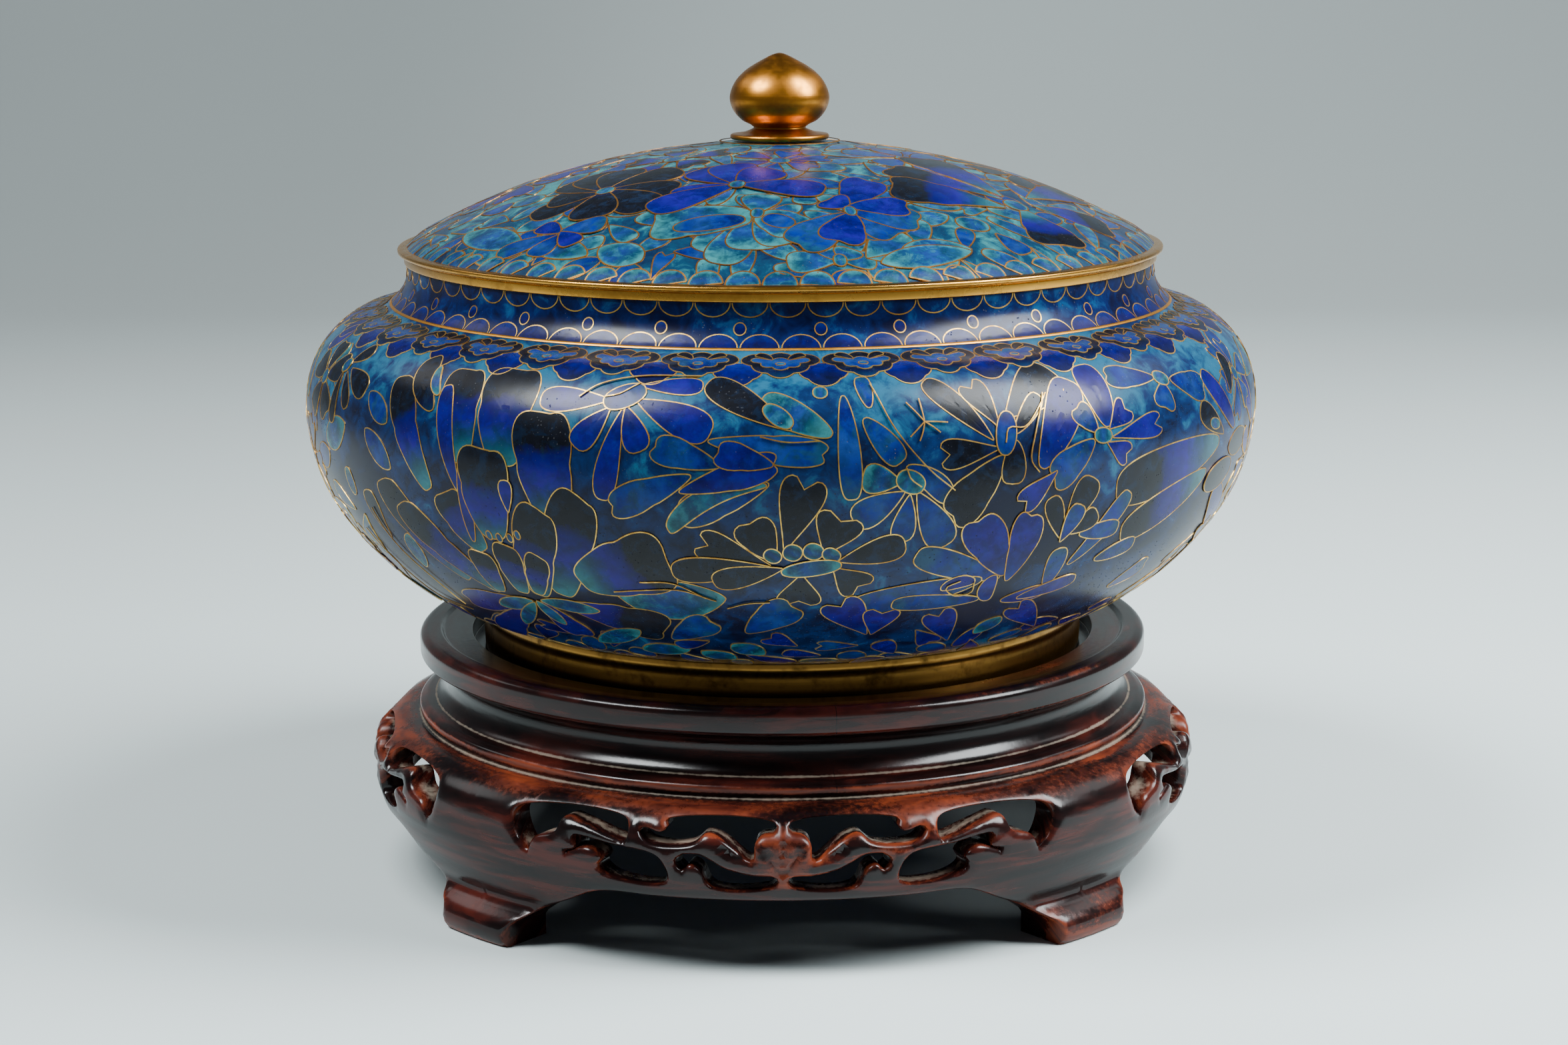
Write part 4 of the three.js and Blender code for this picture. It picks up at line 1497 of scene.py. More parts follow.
@dataclass
class Bowl:
    """The bowl: an enamelled copper shell, its bands under the mouth and the flowers round it.

    Its base runs from the axis outwards and its floor back to it; a band has its lower and upper height.
    """

    view: View
    glazes: dict[Glaze, Material]
    corners: tuple[Point, ...] = ((78.5, 128.8), (79.0, 124.8), (82.2, 120.6), (90.0, 118.0), (97.1, 111.0),
                                  (100.0, 100.6), (96.6, 84.0), (86.4, 70.0), (73.8, 60.0), (64.4, 55.9))
    base: tuple[Point, ...] = ((0.0, 54.4), (24.0, 54.6), (50.0, 55.4), (63.2, 56.1))
    floor: tuple[Point, ...] = ((50.0, 57.6), (24.0, 56.8), (0.0, 56.6))
    mouth: Point = (76.1, 128.8)
    wall: float = 2.4
    inset: float = 0.5
    arches: int = 66
    arch_heights: Point = (120.75, 123.0)
    ovals: int = 33
    oval_height: float = 123.95
    pendants: int = 70
    pendant_heights: Point = (126.1, 128.7)
    heads: int = 36
    line_height: float = 120.5
    thread_place: float = 30.0
    sides: int = 192
    low_leaves: Scatter = Scatter(135, 81.0, 96.5, (6.5, 11.0), (4.0, 6.5),
                                  (Glaze.COBALT, Glaze.TEAL, Glaze.NIGHT, Glaze.COBALT, Glaze.VIOLET), 5)
    side_leaves: Scatter = Scatter(64, 14.0, 82.0, (9.0, 15.0), (4.4, 7.0),
                                   (Glaze.TEAL, Glaze.COBALT, Glaze.TEAL, Glaze.VIOLET, Glaze.INK), 7,
                                   (60.0, 120.0))

    def __post_init__(self) -> None:
        """Work out the face that the cells lie on."""
        self.line = through(self.corners, 1.1)
        self.face = Face(sideways(self.line, -self.inset), domed=False)

    def build(self) -> None:
        """Make the shell, the copper line and every band."""
        wire = GOLD_WIRE.material()
        self.shell()
        self.copper_line()
        for skin in (self.neck(), self.collar(), self.flowers()):
            skin.build(self.glazes, wire, "gilt")

    def shell(self) -> None:
        """Make the shell in one: under the base, up the outside, over the mouth and down the lining."""
        outer = self.face.profile[::-1]
        inner = sideways(self.line, -self.wall)
        inner[0] = self.mouth
        inner = np.vstack([inner, self.floor])
        base = through(self.base, 6.0)[:-1]
        profile = np.vstack([base, outer, inner])
        z = profile[:, 1]
        lining = np.concatenate([np.ones(len(base)), np.zeros(len(outer)), np.ones(len(inner))])
        neck = smoothstep(119.8, 121.2, z) * (1 - lining)
        foot = smoothstep(106.0, 90.0, z) * smoothstep(59.0, 66.0, z) * (1 - lining)
        foot = foot - 0.8 * smoothstep(103.0, 111.0, z) * (1 - lining)
        sheet = turned(profile, self.sides, False, {"lining": lining, "neck": neck, "foot": foot})
        put("bowl_shell", sheet, BOWL_GROUND.material(), 40.0, "bowl")

    def copper_line(self) -> None:
        """Lay the flat copper line under the neck, its section a low arch."""
        across = np.array([-0.36, -0.3, -0.12, 0.12, 0.3, 0.36])
        lift = np.array([-0.2, 0.1, 0.16, 0.16, 0.1, -0.2])
        place = self.face.points(np.zeros(6), self.face.at_height(self.line_height) + across, lift)
        section = np.stack([-place[:, 1], place[:, 2]], 1)
        put("copper_line", turned(section, self.sides), COPPER.material(), 60.0)

    def neck(self) -> Skin:
        """Lay the arches, the small ovals over them and the pendants under the mouth.

        Returns:
            The skin that holds them.
        """
        skin = Skin("neck", self.face, first_lift=0.05)
        foot, crown = self.face.at_height(self.arch_heights)
        line = arc(TURN * self.face.radius(foot) / self.arches * 0.93, foot - crown, 15)
        night = np.vstack([line * (0.97, 0.97), line[::-1] * (0.9, 0.0)]) - (0.0, 1.0)
        for k in range(self.arches):
            azimuth = TURN * (k + 0.5) / self.arches
            skin.add_wire(*self.face.roll(line, (azimuth, foot)))
            skin.add_shape((azimuth, foot - 1.0), night, Glaze.NIGHT, wired=False)
        around = np.linspace(0, TURN, 17)[:-1]
        oval = np.stack([1.15 * np.cos(around), 1.25 * np.sin(around)], 1)
        for k in range(self.ovals):
            hub = (TURN * (2 * k + 1) / (2 * self.ovals), self.face.at_height(self.oval_height))
            skin.add_shape(hub, oval, Glaze.NIGHT)
        low, top = self.face.at_height(self.pendant_heights)
        line = arc(TURN * self.face.radius(top) / self.pendants * 0.95, low - top, 13) * (1, -1)
        for k in range(self.pendants):
            skin.add_wire(*self.face.roll(line, (TURN * (k + 0.2) / self.pendants, top)))
        return skin

    def collar(self) -> Skin:
        """Lay the cloud heads on the shoulder, with lobes hanging between them.

        A head is a black trefoil with a blue one in it, two black hooks that curl in from its upper
        edge, and a small oval between them.

        Returns:
            The skin that holds them.
        """
        skin = Skin("collar", self.face)
        hub_place = self.face.at_height(self.line_height) + 0.55 + 4.6
        pitch = TURN / self.heads
        lobe = circles(mirrored((1.8, 0.6, 2.9), (0, -0.6, 3.2)), 30)
        black = circles(mirrored((4.7, 1.1, 2.6), (2.7, -1.5, 2.5), (0, -2.6, 2.7), (0, 1.4, 2.8)), 64)
        blue = circles(mirrored((4.3, 1.0, 1.2), (2.3, -1.0, 1.3), (0, -1.6, 1.6), (0, 0.6, 1.6)), 44)
        eye = circles([(0, 0, 0.7)], 12) * (1.3, 1.0)
        for k in range(self.heads):
            skin.add_shape((pitch * (k + 0.5), hub_place + 3.6), lobe, Glaze.NIGHT)
        for k in range(self.heads):
            hub = (pitch * k, hub_place)
            skin.add_shape(hub, black, Glaze.INK)
            skin.add_shape(hub, blue, Glaze.COBALT)
            for side in (-1, 1):
                ends = self.face.roll(np.array([[side * 4.6, 3.5], [side * 1.5, 1.2]]), hub)
                base, tip = (tuple(p) for p in np.stack(ends, 1))
                skin.add_petals([Petal(tip, base, 1.7, Form.LONG, Glaze.INK, side * 0.14)])
            skin.add_shape((hub[0], hub_place + 0.9), eye, Glaze.TEAL)
        return skin

    def flowers(self) -> Skin:
        """Lay the flowers of the front, the same turned to the back, and others on the sides.

        Returns:
            The skin that holds them.
        """
        skin = Skin("bowl", self.face)
        front = [p for spray in BOWL_SPRAYS for p in spray.petals(self.face, self.view)]
        side = self.side_leaves.petals(self.face)
        side += [p for bloom in SIDE_BLOOMS for p in bloom.build(self.face)]
        low = self.low_leaves.petals(self.face)
        skin.add_petals(low + side + turned_round(side) + turned_round(front) + front)
        flat = (self.face.radius(self.thread_place), 1.0)
        for thread in BOWL_THREADS:
            azimuth, s = (through(self.face.seen(self.view, np.array(thread)) * flat, 0.9) / flat).T
            skin.add_wire(azimuth, s)
            skin.add_wire(azimuth + np.pi, s)
        return skin


LID_SPRAYS = (
    Spray(Glaze.TEAL, Form.PETAL, (
        (1260, 391, 1180, 394, 7), (1260, 391, 1314, 391, 6), (1300, 388, 1435, 384, 9),
        (1256, 392, 1246, 372, 6), (1262, 392, 1276, 374, 6), (1135, 321, 1052, 378, 9),
        (1135, 321, 1078, 397, 9), (1135, 321, 1129, 376, 11), (1135, 321, 1178, 368, 9))),
    Spray(Glaze.TEAL, Form.FAN, ((1128, 326, 978, 340, 13), (1140, 322, 1200, 346, 10))),
    Spray(Glaze.COBALT, Form.OVAL, ((1118, 330, 1010, 344, 6), (1146, 326, 1190, 340, 5))),
    Spray(Glaze.TEAL, Form.PETAL, (
        (1135, 321, 1145, 292, 8), (1300, 388, 1352, 350, 8), (780, 372, 852, 356, 9))),
    Spray(Glaze.INK, Form.PETAL, (
        (908, 288, 797, 328, 9), (908, 288, 825, 303, 9), (908, 288, 853, 277, 9), (908, 288, 892, 264, 10),
        (908, 288, 942, 256, 10), (908, 288, 1022, 256, 10), (908, 288, 1015, 286, 10),
        (908, 288, 975, 314, 10), (908, 288, 884, 330, 10))),
    Spray(Glaze.VIOLET, Form.PETAL, (
        (1106, 279, 1008, 296, 8), (1106, 279, 974, 318, 9), (1106, 279, 1050, 256, 10),
        (1106, 279, 1098, 248, 10), (1106, 279, 1160, 256, 10), (1106, 279, 1237, 288, 9))),
    Spray(Glaze.COBALT, Form.LOBED, (
        (1278, 321, 1295, 362, 9), (1278, 321, 1352, 354, 10), (1278, 321, 1193, 372, 10),
        (1278, 321, 1382, 334, 9))),
    Spray(Glaze.VIOLET, Form.LOBED, (
        (1272, 312, 1303, 270, 9), (1272, 312, 1240, 300, 8), (1272, 312, 1364, 312, 8),
        (1278, 321, 1258, 366, 9))),
    Spray(Glaze.DUSK, Form.RUFFLED, (
        (1503, 296, 1372, 238, 12), (1540, 298, 1610, 296, 10), (1503, 300, 1330, 254, 10),
        (1507, 313, 1335, 282, 14), (1530, 313, 1597, 369, 14), (1548, 309, 1664, 344, 11))),
    Spray(Glaze.TEAL, Form.LEAF, (
        (1457, 375, 1352, 380, 8), (1457, 378, 1322, 396, 7), (780, 372, 700, 352, 8),
        (880, 384, 800, 366, 7), (900, 372, 962, 392, 8))),
    Spray(Glaze.COBALT, Form.PETAL, (
        (842, 352, 745, 384, 6), (842, 352, 800, 386, 6), (842, 348, 910, 336, 7))),
    Spray(Glaze.VIOLET, Form.PETAL, ((842, 350, 812, 340, 5), (842, 350, 862, 368, 5))),
    Spray(Glaze.TEAL, Form.OVAL, (
        (898, 288, 920, 288, 4), (1094, 279, 1118, 279, 4), (1266, 318, 1284, 318, 4),
        (1126, 321, 1146, 321, 4), (1250, 391, 1270, 391, 4), (1510, 309, 1536, 309, 5))),
)

LID_BLOOMS = (
    Bloom(92, 50, 17, 8, 7.5, Form.LOBED, Glaze.INK, 3.2, 0.1),
    Bloom(-90, 54, 16, 6, 9.0, Form.HEART, Glaze.VIOLET, 3.2, 0.4),
    Bloom(60, 30, 12, 6, 6.5, Form.PETAL, Glaze.COBALT, 2.4, 0.0),
    Bloom(-50, 28, 11, 5, 7.0, Form.HEART, Glaze.DUSK, 2.4, 0.2),
    Bloom(128, 34, 11, 6, 6.0, Form.HEART, Glaze.VIOLET, 2.4, 0.3),
    Bloom(-126, 38, 12, 7, 5.6, Form.PETAL, Glaze.COBALT, 2.4, 0.3),
    Bloom(0, 26, 10, 6, 5.6, Form.HEART, Glaze.COBALT, 2.2, 0.3),
    Bloom(180, 27, 10, 6, 5.6, Form.LOBED, Glaze.VIOLET, 2.2, 0.3),
)


@dataclass
class Lid:
    """The domed lid: an enamelled shell covered with small leaves and flowers in wires darkened to brown as painted
    shade.
    """

    view: View
    glazes: dict[Glaze, Material]
    corners: tuple[Point, ...] = ((10.6, 153.3), (30.0, 150.5), (50.0, 145.6), (65.0, 139.8), (75.4, 134.7),
                                  (78.5, 132.1))
    crown: tuple[Point, ...] = ((0.0, 153.3), (5.0, 153.3))
    seat: Point = (75.3, 132.1)
    wall: float = 2.2
    inset: float = 0.5
    scallops: int = 69
    finial_ring: float = 12.4
    leaves: Scatter = Scatter(322, 13.0, 82.0, (7.0, 12.5), (3.8, 6.2),
                              (Glaze.TEAL,) * 4 + (Glaze.COBALT,), 11)
    sides: int = 176

    def __post_init__(self) -> None:
        """Work out the face that the cells lie on."""
        self.line = np.vstack([self.crown, through(self.corners, 1.1)])
        lowered = sideways(self.line, -self.inset)
        lowered[0, 0] = 0.0
        self.face = Face(lowered, domed=True)

    def build(self) -> None:
        """Make the shell and its cells."""
        inner = sideways(self.line, -self.wall)[::-1]
        inner[-1, 0] = 0.0
        inner = np.vstack([[self.seat], inner[inner[:, 1] > self.seat[1] + 0.3]])
        profile = np.vstack([self.face.profile, inner])
        lining = np.concatenate([np.zeros(len(self.face.profile)), np.ones(len(inner))])
        sheet = turned(profile, self.sides, False, {"lining": lining, "neck": 0 * lining, "foot": 0 * lining})
        put("lid_shell", sheet, LID_GROUND.material(), 40.0, "lid")
        skin = Skin("lid", self.face, wire_width=0.36, wire_lift=0.014, level_lift=0.026)
        skin.add_petals(self.leaves.petals(self.face))
        skin.add_petals(p for bloom in LID_BLOOMS for p in bloom.build(self.face))
        front = [p for spray in LID_SPRAYS for p in spray.petals(self.face, self.view)]
        skin.add_petals(turned_round(front) + front)
        self.edge(skin)
        skin.build(self.glazes, SHADED_GOLD_WIRE.material(), "brass")

    def edge(self, skin: Skin) -> None:
        """Lay the scallops along the edge, and a thin ring round the finial.

        Args:
            skin: the skin that takes them.
        """
        foot = self.face.length - 0.2
        line = arc(TURN * self.face.radius(foot) / self.scallops * 0.97, 3.7, 17)
        shape = np.vstack([line, line[-2:0:-1] * (1.0, 0.02)]) - (0.0, 1.5)
        for k in range(self.scallops):
            skin.add_shape((TURN * k / self.scallops, foot - 1.5), shape, Glaze.TEAL)
        skin.add_wire(np.linspace(0, TURN, 97)[:-1], np.full(96, self.finial_ring), True)


@dataclass
class Rims:
    """The gilt rings at the mouth and round the lid, and the ring that the bowl stands on."""

    mouth: tuple[Corner, ...] = (
        (77.2, 128.8, 0), (78.55, 128.8, 0.3), (78.6, 130.6, 0.3), (76.0, 130.6, 0.3), (76.0, 128.8, 0.2),
        (77.2, 128.8, 0))
    lid: tuple[Corner, ...] = (
        (74.5, 132.05, 0), (73.8, 132.05, 0.2), (73.8, 125.4, 0.3), (75.3, 125.4, 0.3), (75.3, 130.62, 0.1),
        (79.0, 130.62, 0.1), (79.1, 130.9, 0.15), (79.85, 130.95, 0.3), (79.9, 131.75, 0.35),
        (79.0, 132.05, 0.3), (78.0, 132.08, 0.1), (74.5, 132.05, 0))
    foot: tuple[Corner, ...] = (
        (62.5, 47.0, 0), (63.6, 47.0, 0.4), (63.75, 50.5, 0.6), (63.5, 53.6, 0.6), (64.1, 54.9, 0.5),
        (63.9, 56.3, 0.2), (61.3, 56.1, 0.1), (61.3, 47.0, 0.4), (62.5, 47.0, 0))
    sides: int = 176

    def build(self) -> None:
        """Turn the three rings."""
        gilt, brass = GILT.material(), RING_BRASS.material()
        for name, node, section, finish, slot in (("mouth_ring", "mouth_rim", self.mouth, gilt, "gilt"),
                                                  ("lid_ring", "lid_rim", self.lid, gilt, "gilt"),
                                                  ("standing_ring", "foot_ring", self.foot, brass, "brass")):
            put(name, turned(rounded(section, 5)[:-1], self.sides), finish, 50.0, node)


@dataclass
class Finial:
    """The brass finial: a peach-shaped knob on a short neck and a thin flange.

    The knob's outline gives radii against shares of its height, and the flange's gives heights over
    the lid.
    """

    seat: float = 153.3
    neck: float = 155.7
    tip: float = 171.05
    flange: tuple[Corner, ...] = ((0.0, 0.0, 0), (10.1, 0.0, 0.3), (10.4, 0.45, 0.35), (10.2, 1.05, 0.4),
                                  (7.6, 1.35, 0.8), (5.5, 2.2, 0.6), (5.45, 2.5, 0.1))
    knob: tuple[Point, ...] = (
        (7.9, 0.1), (9.7, 0.235), (10.4, 0.385), (10.1, 0.5), (9.1, 0.63), (7.5, 0.745), (5.7, 0.83),
        (3.8, 0.9), (1.7, 0.97), (0.7, 0.993), (0.0, 1.0))
    sides: int = 96

    def build(self) -> None:
        """Turn the finial from its flange to its point."""
        flange = rounded([(r, self.seat + z, cut) for r, z, cut in self.flange], 4)
        knob = [(r, self.neck + share * (self.tip - self.neck)) for r, share in self.knob]
        line = through([(5.45, self.neck + 0.1), (6.1, self.neck + 0.6), *knob], 0.45)
        sheet = turned(np.vstack([flange[:-1], line]), self.sides, False)
        put("knob", sheet, BRASS.material(), 50.0, "finial")


PIERCINGS = (
    ((-34.8, 21.6), (-36.4, 23.7), (-37.2, 28.6), (-34.4, 30.4), (-21, 30.4), (-20.1, 29.2), (-20.3, 26.4),
     (-22.2, 26.8), (-25.6, 28.3), (-29.3, 29.2), (-30.5, 26.2), (-33.6, 24.4)),
    ((-18.5, 28.2), (-18, 29), (-15.6, 28.4), (-14.9, 29.3), (-15.1, 30.4), (-0.9, 30.4), (-0.9, 29),
     (-2.6, 28.4), (-3.5, 27), (-3.8, 23.7), (-7.7, 27.8), (-9.7, 28.6), (-11.4, 26.7), (-15.9, 26.1), (-17.7, 26.8)),
    ((-28.7, 22.7), (-27.2, 23.8), (-27.8, 25.9), (-22.1, 25.3), (-15.9, 23.6), (-14.9, 18.8), (-22.3, 18.8),
     (-24.2, 20.6), (-23.6, 22.4), (-25.3, 24.2)),
    ((-12.5, 24.7), (-10.4, 24.6), (-7.2, 22), (-3.9, 20.7), (-1.1, 20.4), (-0.6, 19.6), (-1.3, 18.5),
     (-9, 18.3), (-10.6, 21.9), (-11.8, 22.7), (-12.8, 21.4), (-13.7, 23.3)),
)


@dataclass
class Stand:
    """The stand: a turned ring, waist and bead on a pierced apron with four feet.

    The arch under a panel is given as degrees and heights, and ends at the foot's edge.
    """

    arc_radius: float = 86.0
    top: float = 33.0
    grain: float = 1.0
    edge: float = 0.75
    panels: int = 4
    sides: int = 176
    arch: tuple[Point, ...] = ((16, 15.4), (24.5, 15.1), (30, 11.6), (34.6, 8.4), (38.2, 5.2))
    foot_edge: float = 38.8
    ring: tuple[Corner, ...] = (
        (60.0, 41.0, 0), (64.4, 41.0, 0.3), (64.4, 30.4, 0.5), (79.0, 30.4, 0.3), (79.0, 32.8, 0.1),
        (77.6, 33.2, 0.2), (77.9, 34.2, 0.5), (77.9, 35.5, 0.6), (76.3, 36.25, 0.4), (74.6, 36.5, 0.3),
        (73.6, 37.2, 0.6), (72.4, 38.8, 1.0), (71.8, 41.4, 1.6), (72.4, 43.4, 1.2), (74.2, 44.8, 0.8),
        (76.4, 45.2, 0.5), (77.45, 46.0, 0.5), (77.5, 49.9, 0.8), (76.2, 51.0, 0.7), (73.0, 51.05, 0.4),
        (72.3, 50.25, 0.3), (66.3, 50.2, 0.3), (66.2, 47.0, 0.3), (56.0, 47.0, 0.4), (56.0, 41.0, 0.3),
        (60.0, 41.0, 0))
    outer: tuple[Point, ...] = (
        (87.2, 0.0), (87.8, 1.6), (88.05, 3.8), (86.6, 6.0), (83.8, 8.2), (84.8, 11.5), (87.0, 18.2),
        (87.85, 24.6), (86.9, 28.6), (84.3, 31.2), (81.4, 32.6), (78.9, 33.0))
    inner: tuple[Point, ...] = ((75.6, 0.0), (75.6, 8.2), (81.8, 12.4), (81.8, 29.2), (76.0, 33.0))
    grooves: tuple[tuple[Point, Point], ...] = (
        ((-0.6, 21.2), (-2.9, 25.9)), ((0.0, 21.2), (0.0, 26.8)), ((0.6, 21.2), (2.9, 25.9)),
        ((-8.4, 23.9), (-11.4, 26.0)), ((8.4, 23.9), (11.4, 26.0)))

    def build(self) -> None:
        """Make both parts in lacquered wood."""
        wood = Lacquer().material()
        section = rounded(self.ring, 5)[:-1]
        r, z = section[:, 0], section[:, 1]
        bead = bell(z, 34.8, 0.9) * (r > 76.5)
        rim = bell(z, 50.6, 0.5) * (r > 76.0) + bell(z, 45.9, 0.4) * (r > 76.5)
        groove = bell(np.hypot(r - 77.7, z - 33.1), 0.0, 0.5) + bell(np.hypot(r - 74.4, z - 36.6), 0.0, 0.5)
        numbers = {"wear": 0.95 * bead + 0.35 * rim - 0.1 * (z > 36.0), "dust": np.clip(groove, 0, 1)}
        put("stand_ring", turned(section, self.sides, True, numbers), wood, 40.0, "stand")
        put("stand_apron", self.apron(), wood, 42.0)

    def outlines(self) -> list[Array]:
        """Draw a panel laid flat.

        Returns:
            Its outer outline and then its piercings, in millimetres.
        """
        scale = math.radians(1.0) * self.arc_radius
        half = 180 / self.panels * scale
        arch = through([(a * scale, z) for a, z in self.arch], self.grain)
        right = np.vstack([
            np.stack([np.linspace(0, arch[0, 0], 26), np.full(26, 15.4)], 1)[:-1], arch,
            [[self.foot_edge * scale, z] for z in (4.2, 2.8, 1.4, 0.0)],
            np.stack([np.linspace(self.foot_edge * scale, half, 8)[1:], np.zeros(7)], 1),
            np.stack([np.full(27, half), np.linspace(0, self.top, 28)[1:]], 1),
            np.stack([np.linspace(half, 0, 68)[1:], np.full(67, self.top)], 1)])
        lines = [np.vstack([right, (right * (-1, 1))[-2:0:-1]])]
        for piercing in PIERCINGS:
            hole = through([(a * scale, z) for a, z in piercing + piercing[:1]], 0.8)[:-1]
            lines += [hole, (hole * (-1, 1))[::-1]]
        return lines

    def apron(self) -> Sheet:
        """Make the pierced apron with its feet.

        A panel laid flat is filled with triangles between its outlines, then bent round the axis to an
        outer and an inner face, whose edges are joined through the wall. Near an edge at a distance d
        the outer face is drawn in by e (1 - sqrt(1 - (1 - d/e)^2)), a quarter circle.

        Returns:
            The apron, with its wear and dust.
        """
        lines = self.outlines()
        plane, faces = self.filled(lines)
        dense = np.vstack([densified(line, 0.25) for line in lines])
        dense = dense[(np.abs(dense[:, 0]) < lines[0][:, 0].max() - 0.01) & (dense[:, 1] < self.top - 0.01)]
        x, z, d = (np.tile(v, self.panels) for v in (*plane.T, nearest(plane, dense)))
        turns = np.arange(self.panels)[:, None] * TURN / self.panels
        azimuth = (plane[:, 0] / self.arc_radius + turns).ravel()
        faces = np.concatenate([faces + k * len(plane) for k in range(self.panels)])
        key = np.round(np.stack([np.sin(azimuth), np.cos(azimuth), z / 50], 1), 5)
        _, first, place = np.unique(key, axis=0, return_index=True, return_inverse=True)
        azimuth, z, d, x = azimuth[first], z[first], d[first], x[first]
        faces = place.ravel()[faces]
        smooth, inner = through(self.outer, 0.4), np.array(self.inner)
        into = np.interp(z, inner[:, 1], inner[:, 0])
        share = np.clip(1 - d / self.edge, 0, 1)
        out = np.interp(z, smooth[:, 1], smooth[:, 0]) - self.edge * (1 - np.sqrt(1 - share ** 2))
        out = out + self.relief(x, z, d)
        count = len(z)
        edges = np.concatenate([faces[:, [0, 1]], faces[:, [1, 2]], faces[:, [2, 0]]])
        _, index, times = np.unique(np.sort(edges, axis=1), axis=0, return_index=True, return_counts=True)
        a, b = edges[index[times == 1]].T
        wall = np.stack([b, a, a + count, b + count], 1)
        run = np.stack([turn_between(azimuth[a], azimuth[b]) * self.arc_radius, z[b] - z[a]], 1)
        facing = -run[:, 0] / np.maximum(np.linalg.norm(run, axis=1), TINY)
        upward = np.zeros(count)
        np.maximum.at(upward, a, facing)
        np.maximum.at(upward, b, facing)
        wear, dust = self.worn(azimuth, x, z, d, upward)
        return Sheet(np.concatenate([round_axis(r, azimuth, z) for r in (out, out * 0.5 + into * 0.5, into)]),
                     np.concatenate([wall, wall + count]),
                     np.concatenate([faces, faces[:, ::-1] + 2 * count]),
                     {"wear": np.concatenate([wear, wear * 0.3, 0 * wear]),
                      "dust": np.concatenate([dust * 0.3, dust, dust * 0.6])}).compact()

    def worn(self, azimuth: Array, x: Array, z: Array, d: Array, upward: Array) -> tuple[Array, Array]:
        """Tell where the apron is rubbed and where dust lies on it.

        It is rubbed at its edges, on the shell and the stems, low on the feet, on its brow and, most of
        all, on the front right foot, whose corner is raw. Dust lies on the lower edges of the piercings.

        Args:
            azimuth, x, z: places, x laid flat from the middle of a panel.
            d: distances from an edge.
            upward: how far the wall at an edge faces up, from 0 to 1.

        Returns:
            The wear and the dust.
        """
        wear = 0.55 * np.clip(1 - d / 1.2, 0, 1) * (z < 31) + 0.75 * bell(x, 0.0, 7.0) * (z > 18) * (z < 30)
        wear = wear + 0.5 * bell(z, 0.0, 3.0) + 0.3 * bell(x, 18, 12) * (z > 20) * (z < 29)
        wear = wear + 0.26 * bell(azimuth, 0.75, 0.24) * smoothstep(22.0, 8.0, z)
        wear = wear + 0.66 * smoothstep(27.0, 31.0, z) + 0.3 * bell(z, 6.5, 3.0)
        dust = np.clip(upward, 0, 1) * ((z > 17.0) & (z < 31.0)) * 0.9
        return wear, dust + 0.8 * (z < 1.0) * (np.abs(azimuth - 0.72) < 0.07)

    def relief(self, x: Array, z: Array, d: Array) -> Array:
        """Give the carving's height: stems swell between their edges, and shell and stems have grooves.

        The swell is 0.35 smoothstep(d) - 0.2, and a groove is -0.8 exp(-(distance / 0.5)^2).

        Args:
            x, z: places, x laid flat from the middle of a panel.
            d: distances from an edge.

        Returns:
            How far the face stands out.
        """
        pierced = smoothstep(18.2, 19.4, z) * smoothstep(31.0, 30.0, z)
        height = (0.35 * smoothstep(0.2, 1.6, d) - 0.2) * pierced
        for start, end in self.grooves:
            a, run = np.array(start), np.array(end) - np.array(start)
            t = np.clip(((x - a[0]) * run[0] + (z - a[1]) * run[1]) / (run @ run), 0, 1)
            off = np.hypot(x - a[0] - t * run[0], z - a[1] - t * run[1])
            height = height - 0.8 * bell(off, 0.0, 0.5)
        return height

    def filled(self, lines: list[Array]) -> tuple[Array, Array]:
        """Fill the panel with triangles, finer along its edges.

        Args:
            lines: its outer outline, counter-clockwise, and the piercings.

        Returns:
            The points, and the triangles, which turn counter-clockwise.
        """
        dense = np.vstack([densified(line, 0.3) for line in lines])
        extra = []
        for line in lines:
            for gap in (0.25, 0.6):
                for side in (1, -1):
                    ring = line + side * gap * left_of(closed_run(line))
                    extra.append(ring[nearest(ring, dense) > 0.9 * gap])
        low, high = lines[0].min(0), lines[0].max(0)
        x, z = np.arange(low[0], high[0], self.grain), np.arange(low[1], high[1], self.grain * 0.87)
        grid = np.stack(np.meshgrid(x, z), -1)
        grid[1::2, :, 0] += self.grain / 2
        grid = grid.reshape(-1, 2)
        extra = np.vstack(extra + [grid[nearest(grid, dense) > 0.95]])
        extra = extra[within(extra, lines)]
        edges, start = [], 0
        for line in lines:
            k = np.arange(len(line))
            edges += np.stack([start + k, start + (k + 1) % len(line)], 1).tolist()
            start += len(line)
        points, _, triangles, *_ = delaunay_2d_cdt(
            [Vector(p) for p in np.vstack([*lines, extra])], edges, [], 0, 1e-4)
        points = np.array([tuple(p) for p in points])
        triangles = np.array([t for t in triangles if len(t) == 3])
        triangles = triangles[within(points[triangles].mean(1), lines)]
        a, b, c = (points[triangles[:, k]] for k in range(3))
        sign = (b - a)[:, 0] * (c - a)[:, 1] - (b - a)[:, 1] * (c - a)[:, 0]
        triangles[sign < 0] = triangles[sign < 0][:, ::-1]
        return points, triangles


def densified(line: Array, step: float) -> Array:
    """Give points along a closed line, no farther apart than a step.

    Args:
        line: its points.
        step: the widest gap.

    Returns:
        The points, in no order.
    """
    after = np.roll(line, -1, axis=0)
    parts = int(math.ceil(np.linalg.norm(after - line, axis=1).max() / step))
    share = np.linspace(0, 1, parts, endpoint=False)[:, None, None]
    return (line + share * (after - line)).reshape(-1, 2)


def nearest(points: Array, others: Array) -> Array:
    """Give each point's distance to the nearest of others, worked out a few hundred points at a time."""
    return np.concatenate([np.sqrt(((part[:, None] - others[None]) ** 2).sum(-1).min(1))
                           for part in np.array_split(points, max(1, len(points) // 400))])


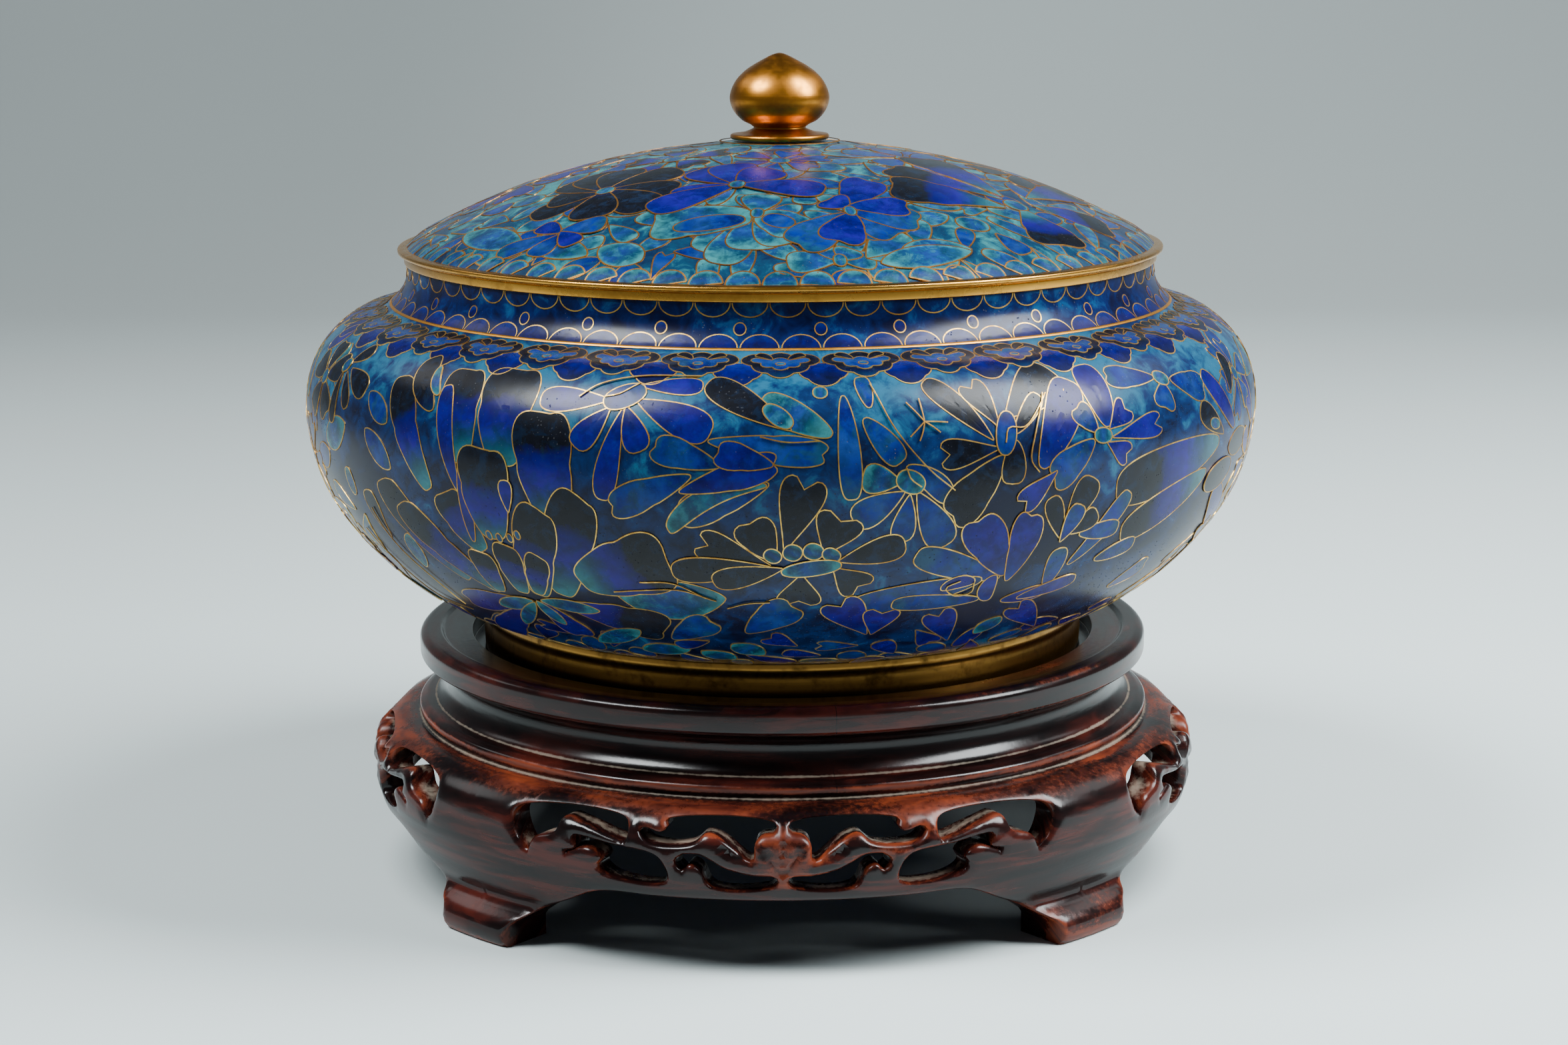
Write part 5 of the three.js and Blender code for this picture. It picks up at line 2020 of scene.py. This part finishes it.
def within(points: Array, lines: list[Array]) -> Array:
    """Tell which points are inside the first of closed lines and in none of the others."""
    first, *others = (inside(points, line) for line in lines)
    return first & ~np.any(others, axis=0)


def inside(points: Array, line: Array) -> Array:
    """Tell which points a closed line surrounds, by counting its crossings to their right.

    Args:
        points: rows of x and y.
        line: the line's points.

    Returns:
        True for each point inside.
    """
    a, b = line, np.roll(line, -1, axis=0)
    x, y = points[:, :1], points[:, 1:]
    spans = (a[:, 1] > y) != (b[:, 1] > y)
    rise = np.where(b[:, 1] == a[:, 1], 1e-12, b[:, 1] - a[:, 1])
    crossing = a[:, 0] + (y - a[:, 1]) / rise * (b[:, 0] - a[:, 0])
    return (spans & (crossing > x)).sum(1) % 2 == 1


def main() -> None:
    """Build the studio and every part of the object."""
    logging.basicConfig(level=logging.INFO, format="%(name)s %(message)s")
    view = View()
    Studio().build()
    view.add_camera()
    glazes = {glaze: finish.material() for glaze, finish in GLAZES.items()}
    for part in (Bowl(view, glazes), Lid(view, glazes), Rims(), Finial(), Stand()):
        part.build()


if __name__ == "__main__":
    main()
